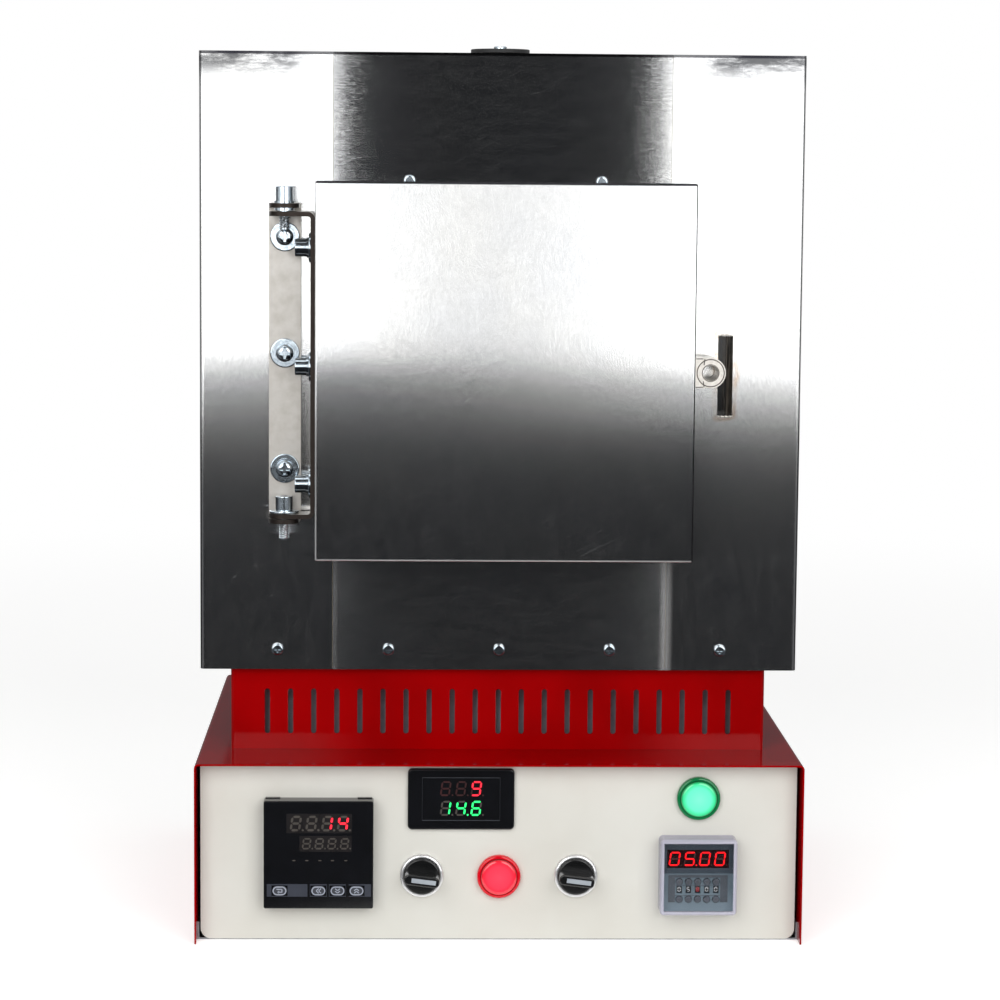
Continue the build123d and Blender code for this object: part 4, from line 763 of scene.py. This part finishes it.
# The field round the wheels is a darker plate, drawn as a frame that leaves the wheels and keys free,
# and a thin raised rim runs round the wheel row.
field_x = timer_low[0] + np.array((4.5, 9.0, 39.0, 43.8))
field_z = timer_low[2] + np.array((6.1, 22.7, 24.5))
field = [rectangle(*field_x[:2], *field_z[::2]), rectangle(*field_x[2:], *field_z[::2]),
         rectangle(*field_x[1:3], *field_z[1:])]
proud("timer_switch_field", field, timer_y, 0.25, recess_grey, "step_key_plastic")
row_x, _, row_z = middle("timer_wheel_3")
sides = strokes(frame_sides(row_x - 16.4, row_x + 16.4, row_z - 3.8, row_z + 2.9, 0.2), 0.35)
proud("timer_wheel_rim", sides, timer_y, 0.3, step_grey, "step_key_plastic")
for index, mark in enumerate("05800", 1):
    node = f"timer_wheel_{index}"
    x, y, z = middle(node)
    radius = (high(node)[2] - low(node)[2]) / 2
    lit, _ = digit_segments(mark, 0.0, 0.0, 1.0, 2.1, 3.3, 0.5, 0.0)
    flat, faces = plates(lit, 0.0, 0.25)
    # A numeral is wrapped round its wheel: its height becomes an angle, its depth a radius.
    turn = flat[:, 2] / radius
    reach = radius + 0.06 - flat[:, 1]
    wrapped = np.stack((x + flat[:, 0], y - reach * np.cos(turn), z + reach * np.sin(turn)), axis=-1)
    make(node + "_numeral", wrapped, faces, red_ink if mark == "8" else white_ink, node, "wheel_plastic")
for index in range(1, 6):
    for kind in ("plus", "minus"):
        node = f"timer_{kind}_{index}"
        x, _, z = middle(node)
        y = low(node)[1]
        lines = [((x - 0.8, z), (x + 0.8, z))]
        if kind == "plus":
            lines += [((x, z - 0.8), (x, z - 0.14)), ((x, z + 0.14), (x, z + 0.8))]
        bars = strokes(lines, 0.26)
        proud(f"{kind}_mark_{index}", bars, y, 0.05, dim_segment, "step_key_plastic", node, 0.1)

# Selector knobs: a pale stripe with a small dark end in each grip bar, which stands 7 degrees off level
lean = math.radians(-7.0)
turned = np.array([(math.cos(lean), math.sin(lean)), (-math.sin(lean), math.cos(lean))])
for node in ("heating_knob", "timing_knob"):
    x, _, z = middle(node)
    y = low(node)[1]
    stripe = np.array(rectangle(-6.8, 9.3, -1.5, 1.5)) @ turned + (x, z)
    tip = np.array(rectangle(9.6, 10.9, -1.7, 1.7)) @ turned + (x, z)
    proud(node + "_stripe", [stripe], y, 0.04, stripe_grey, "bezel_metal", node, 0.1)
    proud(node + "_end_pad", [tip], y, 0.04, black_abs, "black_plastic", node, 0.1)


# Heating coils

def serpentine(points, corner):
    """A path through points (y, z) with quarter turns of a radius, and its length so far at each point."""
    pieces = [points[0][None]]
    for before, here, after in zip(points[:-2], points[1:-1], points[2:]):
        back = (before - here) / np.linalg.norm(before - here)
        ahead = (after - here) / np.linalg.norm(after - here)
        centre = here + corner * (back + ahead)
        angle = np.linspace(0, math.pi / 2, 8)[:, None]
        pieces.append(centre - corner * ahead * np.cos(angle) - corner * back * np.sin(angle))
    path = np.concatenate(pieces + [points[-1][None]])
    length = np.concatenate(([0], np.cumsum(np.linalg.norm(np.diff(path, axis=0), axis=1))))
    return path, length


def wound_coil(x, points, corner, radius, wire, pitch):
    """A round wire along path(s) + radius * (cos t * X + sin t * side), where t = 2 pi s / pitch."""
    path, length = serpentine(points, corner)
    turns = length[-1] / pitch
    s = np.linspace(0, length[-1], int(turns * 12))
    y = np.interp(s, length, path[:, 0])
    z = np.interp(s, length, path[:, 1])
    along = np.stack((np.gradient(y, s), np.gradient(z, s)), axis=-1)
    along /= np.linalg.norm(along, axis=1, keepdims=True)
    side = np.stack((np.zeros_like(s), -along[:, 1], along[:, 0]), axis=-1)
    t = 2 * math.pi * s / pitch
    spoke = np.cos(t)[:, None] * np.array((1.0, 0.0, 0.0)) + np.sin(t)[:, None] * side
    line = np.stack((np.full_like(s, x), y, z), axis=-1) + radius * spoke
    tangent = np.gradient(line, axis=0)
    tangent /= np.linalg.norm(tangent, axis=1, keepdims=True)
    binormal = np.cross(tangent, spoke)
    sides = 6
    around = np.linspace(0, 2 * math.pi, sides, endpoint=False)[None, :, None]
    tube = line[:, None] + wire * (np.cos(around) * spoke[:, None] + np.sin(around) * binormal[:, None])
    points3, faces = grid(tube, closed_v=True)
    last = len(points3) - sides
    return points3, faces + [list(range(sides))[::-1], [last + k for k in range(sides)]]


# Each coil runs up its plate in six rows and leaves at the back, where the plain rod does.
element_low, element_high = low("heating_elements"), high("heating_elements")
coil_in, row_in, corner_r = 3.0, 17.0, 5.0
rows = np.linspace(element_low[2] + coil_in, element_high[2] - coil_in, 6)
ends = (low("element_plates")[1] + row_in, high("element_plates")[1] - row_in)
corners = [(element_high[1], rows[0])]
for index in range(5):
    corners += [(ends[index % 2], rows[index]), (ends[index % 2], rows[index + 1])]
corners = np.array(corners + [(element_high[1], rows[-1])])
for name, x in (("left", element_low[0] + coil_in), ("right", element_high[0] - coil_in)):
    tube = wound_coil(x, corners, corner_r, 2.3, 0.65, 3.4)
    make(name + "_wound_coil", *tube, element_skin, "root", "element_wire", smooth=True)
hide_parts("heating_elements")


# Rough bright beads left at both ends of the latch slot

def bead_line(line, radius):
    """A bead along a line: circles of radius * (1 + 0.35 sin 5s + 0.2 sin 13s), thinned at both ends."""
    s = np.linspace(0, 2 * math.pi, len(line))
    taper = np.sqrt(np.sin(np.linspace(0.02, math.pi - 0.02, len(line))))
    size = radius * (1 + 0.35 * np.sin(5 * s) + 0.2 * np.sin(13 * s)) * taper
    along = np.gradient(line, axis=0)
    along /= np.linalg.norm(along, axis=1, keepdims=True)
    out = np.array((0.0, -1.0, 0.0))
    side = np.cross(along, out)
    sides = 8
    around = np.linspace(0, 2 * math.pi, sides, endpoint=False)[None, :, None]
    ring = np.cos(around) * out + np.sin(around) * side[:, None]
    points, faces = grid(line[:, None] + size[:, None, None] * ring, closed_v=True)
    last = len(points) - sides
    return points, faces + [list(range(sides))[::-1], [last + k for k in range(sides)]]


turn = np.linspace(0, math.pi, 40)
for name, way in (("upper", 1), ("lower", -1)):
    end = slot_z + way * (slot_half_h + 0.7 * np.sin(turn))
    line = np.column_stack((slot_x + slot_half_w * np.cos(turn), np.full(40, box_front), end))
    make(name + "_slot_burr", *bead_line(line, 0.75), latch_steel, "root", "steel_upright", smooth=True)

# Joint lines where the latch barrel is welded to its tab, and painted shade lines along the top and bottom
# edges of the tab
joint_x, joint_reach = low("latch_barrel")[0] + 5.6, 9.3
latch_front, latch_z = low("latch_barrel")[1], middle("latch_barrel")[2]
lines = [((joint_x, latch_z + 5.2), (joint_x + 0.5, latch_z + joint_reach)),
         ((joint_x + 0.2, latch_z - joint_reach), (joint_x - 0.4, latch_z - 5.4))]
lines += [((door_high[0] + 0.3, z), (joint_x - 0.6, z)) for z in (latch_z - joint_reach, latch_z + joint_reach)]
bars = strokes(lines, 0.6)
proud("latch_joint_and_edge_shade_lines", bars, latch_front, 0.04, joint_soot_and_edge_shade, "steel_upright", "door", 0.1)

# Painted shadow in the turned grooves on the front of the barrel: one inside its rim and one round the bore
latch_x = high("latch_barrel")[0] - (high("latch_barrel")[2] - low("latch_barrel")[2]) / 2
for name, across, wide in (("outer", 18.6, 0.75), ("bore", 11.6, 0.6)):
    groove = ring_band(latch_x, latch_z, across, across, wide, latch_front - 0.04, latch_front + 0.1, 24)
    make(f"latch_{name}_groove", *groove, groove_grey, "door", "steel_upright")

# Two dark clips on the top edge of the controller, against the panel
panel_front = low("control_panel")[1]
clip_ends = (case_low[0] + 1.0, case_high[0] - 10.5)
clips = [rectangle(x, x + 9.5, case_high[2] - 0.6, case_high[2] + 0.5) for x in clip_ends]
proud("controller_clips", clips, panel_front, 3.0, black_abs, "black_plastic", sunk=-0.05)


# Screw threads on the ends of the two hinge bolts

def thread(name, z0, z1, root, depth, pitch):
    """A threaded sleeve, coned at its lower end: radius = root + depth * triangle(z / pitch - angle / turn)."""
    sides = 28
    angle = np.linspace(0, 2 * math.pi, sides, endpoint=False)[None, :]
    z = np.linspace(z0, z1, int((z1 - z0) / pitch * 6))[:, None]
    wave = np.abs(((z / pitch - angle / (2 * math.pi)) % 1.0) - 0.5) * 2
    fade = np.clip((z - z0) / 0.8, 0, 1)
    radius = root - 0.5 * (1 - fade) + depth * wave * fade
    x, y = pivot_x + radius * np.cos(angle), pivot_y + radius * np.sin(angle)
    sleeve = np.stack((x, y, np.broadcast_to(z, radius.shape)), axis=-1)
    points, faces = grid(sleeve[::-1], closed_v=True)
    last = len(points) - sides
    caps = [list(range(sides)), [last + k for k in reversed(range(sides))]]
    make(name, points, faces + caps, thread_zinc, "root", "bolt_zinc")


ear_low = high("door_hinge_leaf")[2] - 3.0
thread("lower_pivot_thread", low("hinge_bolts")[2], low("box_hinge_leaf")[2] - 0.1, 3.02, 0.42, 1.25)
thread("upper_pivot_thread", ear_low - 8.6, ear_low - 0.1, 3.02, 0.42, 1.25)


# Camera: the photograph's own place, with no lens shift

camera_place = (-0.05962, -2.1249, 0.51153)
yaw, pitch, roll = 0.02989, 0.11082, 0.00827
forward = Vector((math.sin(yaw) * math.cos(pitch), math.cos(yaw) * math.cos(pitch), -math.sin(pitch)))
right = Vector((math.cos(yaw), -math.sin(yaw), 0.0))
up = right.cross(forward)
turned_right = right * math.cos(roll) + up * math.sin(roll)
turned_up = up * math.cos(roll) - right * math.sin(roll)
camera_data = bpy.data.cameras.new("camera")
camera_data.sensor_width = 36.0
camera_data.lens = 108.33
camera = bpy.data.objects.new("camera", camera_data)
bpy.context.collection.objects.link(camera)
facing = Matrix((turned_right, turned_up, -forward)).transposed().to_4x4()
camera.matrix_world = Matrix.Translation(camera_place) @ facing
bpy.context.scene.camera = camera
bpy.context.scene.view_settings.view_transform = "Standard"


# Floor, cards and light, in metres

def staged(name, points, material, faces=((0, 1, 2, 3),)):
    """A plain sheet that isn't part of the object."""
    mesh = bpy.data.meshes.new(name)
    mesh.from_pydata(points, [], faces)
    sheet = bpy.data.objects.new(name, mesh)
    bpy.context.collection.objects.link(sheet)
    mesh.materials.append(material)
    return sheet


def seen_directly(add):
    """1 for a camera, glossy or transmission ray, which sees white, and 0 for one that lights things."""
    ray = add("LightPath").node.outputs
    direct = add("Math MAXIMUM", ray["Is Camera Ray"], ray["Is Glossy Ray"])
    return add("Math MAXIMUM", direct, ray["Is Transmission Ray"])


def studio_floor():
    """Painted floor that keeps the object's shadow near it and fades to the white background further out."""
    values = {"Roughness": 0.9, "Specular IOR Level": 0.0, "Emission Color": "#ffffff"}
    material, add, shader, place = finish("pale_studio_floor", values)
    far = add("MapRange SMOOTHSTEP", add("VectorMath LENGTH", place), 700.0, 2200.0)
    feed(shader, "Base Color", add("Mix RGBA", far, "#f0f0ef", "#000000"))
    own_light = add("Math MULTIPLY", add("MapRange", far, 0.0, 1.0, 0.56, 1.0), seen_directly(add))
    feed(shader, "Emission Strength", own_light)
    return material


def card_stock(name, colour):
    """Plain card that shows one even colour in reflections."""
    material = bpy.data.materials.new(name)
    material.use_nodes = True
    material.node_tree.nodes.clear()
    add = partial(add_node, material.node_tree)
    add("OutputMaterial", add("Emission", colour, 1.0))
    return material


def floor_card(name, start, end, material):
    """A flat ring sector just over the floor: radius * (cos a, sin a) between two radii and two angles."""
    turn = np.radians(np.linspace(start, end, 49))
    rim = np.column_stack((np.cos(turn), np.sin(turn)))
    edges = [np.column_stack((radius * rim, np.full(49, 0.002))) for radius in (0.29, 4.35)]
    points, faces = grid(np.stack(edges, axis=1))
    return staged(name, points.tolist(), material, faces)


floor_reach = 14.0
floor_corners = rectangle(-floor_reach, floor_reach, -floor_reach, floor_reach)
staged("floor", [(x, y, 0) for x, y in floor_corners], studio_floor())

# Cards that show only in reflections: black ones before the front, which the lower steel mirrors,
# and grey ones for the sides and the back. The black sector opens 38 degrees each way of straight ahead.
velvet = card_stock("black_studio_velvet", "#222325")
grey_card = card_stock("grey_studio_card", "#6a6a6c")
ahead, half_open = -90.0, 38.0
low_card = floor_card("low_black_card", ahead - half_open, ahead + half_open, velvet)
rear_card = floor_card("low_grey_card", ahead + half_open, ahead + 360.0 - half_open, grey_card)
before = [(-0.62, -2.75, 0), (0.36, -2.75, 0), (0.55, -1.9, 4.6), (-0.75, -1.9, 4.6)]
camera_card = staged("camera_black_card", before, velvet)
beside = [(2.35, -0.45, 0), (2.35, 0.25, 0), (2.35, 0.25, 2.2), (2.35, -0.45, 2.2)]
right_card = staged("right_black_card", beside, velvet)
left_card = staged("left_black_card", [(-x, y, z) for x, y, z in beside], velvet)
behind = [(-1.3, 2.6, 0), (1.3, 2.6, 0), (1.3, 2.6, 1.3), (-1.3, 2.6, 1.3)]
back_card = staged("back_grey_card", behind, grey_card)
for card in (low_card, rear_card, camera_card, right_card, left_card, back_card):
    card.visible_camera = False
    card.visible_diffuse = False
    card.visible_shadow = False
    card.visible_transmission = False


def softbox(name, place, aim, size, power):
    """A square area lamp that points at a place."""
    data = bpy.data.lights.new(name, "AREA")
    data.shape = "RECTANGLE"
    data.size, data.size_y = size
    data.energy = power
    lamp = bpy.data.objects.new(name, data)
    bpy.context.collection.objects.link(lamp)
    lamp.location = place
    lamp.rotation_euler = (Vector(aim) - Vector(place)).to_track_quat("-Z", "Y").to_euler()


# Two tall softboxes stand beside the camera. Their lower edges end the bright part of the steel, and the gap
# between them is the dark that the middle sheet mirrors.
softbox("left_softbox", (-0.968, -2.2, 1.41), (0.0, 0.0, 1.41), (1.72, 2.35), 37.0)
softbox("right_softbox", (1.06, -2.18, 1.393), (0.0, 0.0, 1.396), (1.65, 2.35), 34.0)
softbox("top_softbox", (0.0, -0.1, 2.6), (0.0, 0.0, 0.3), (1.6, 1.6), 7.0)

world = bpy.data.worlds.new("studio")
bpy.context.scene.world = world
world.use_nodes = True
world.node_tree.nodes.clear()
add = partial(add_node, world.node_tree)
strength = add("MapRange", seen_directly(add), 0.0, 1.0, 0.25, 1.0)
add("OutputWorld", add("Background", "#ffffff", strength))
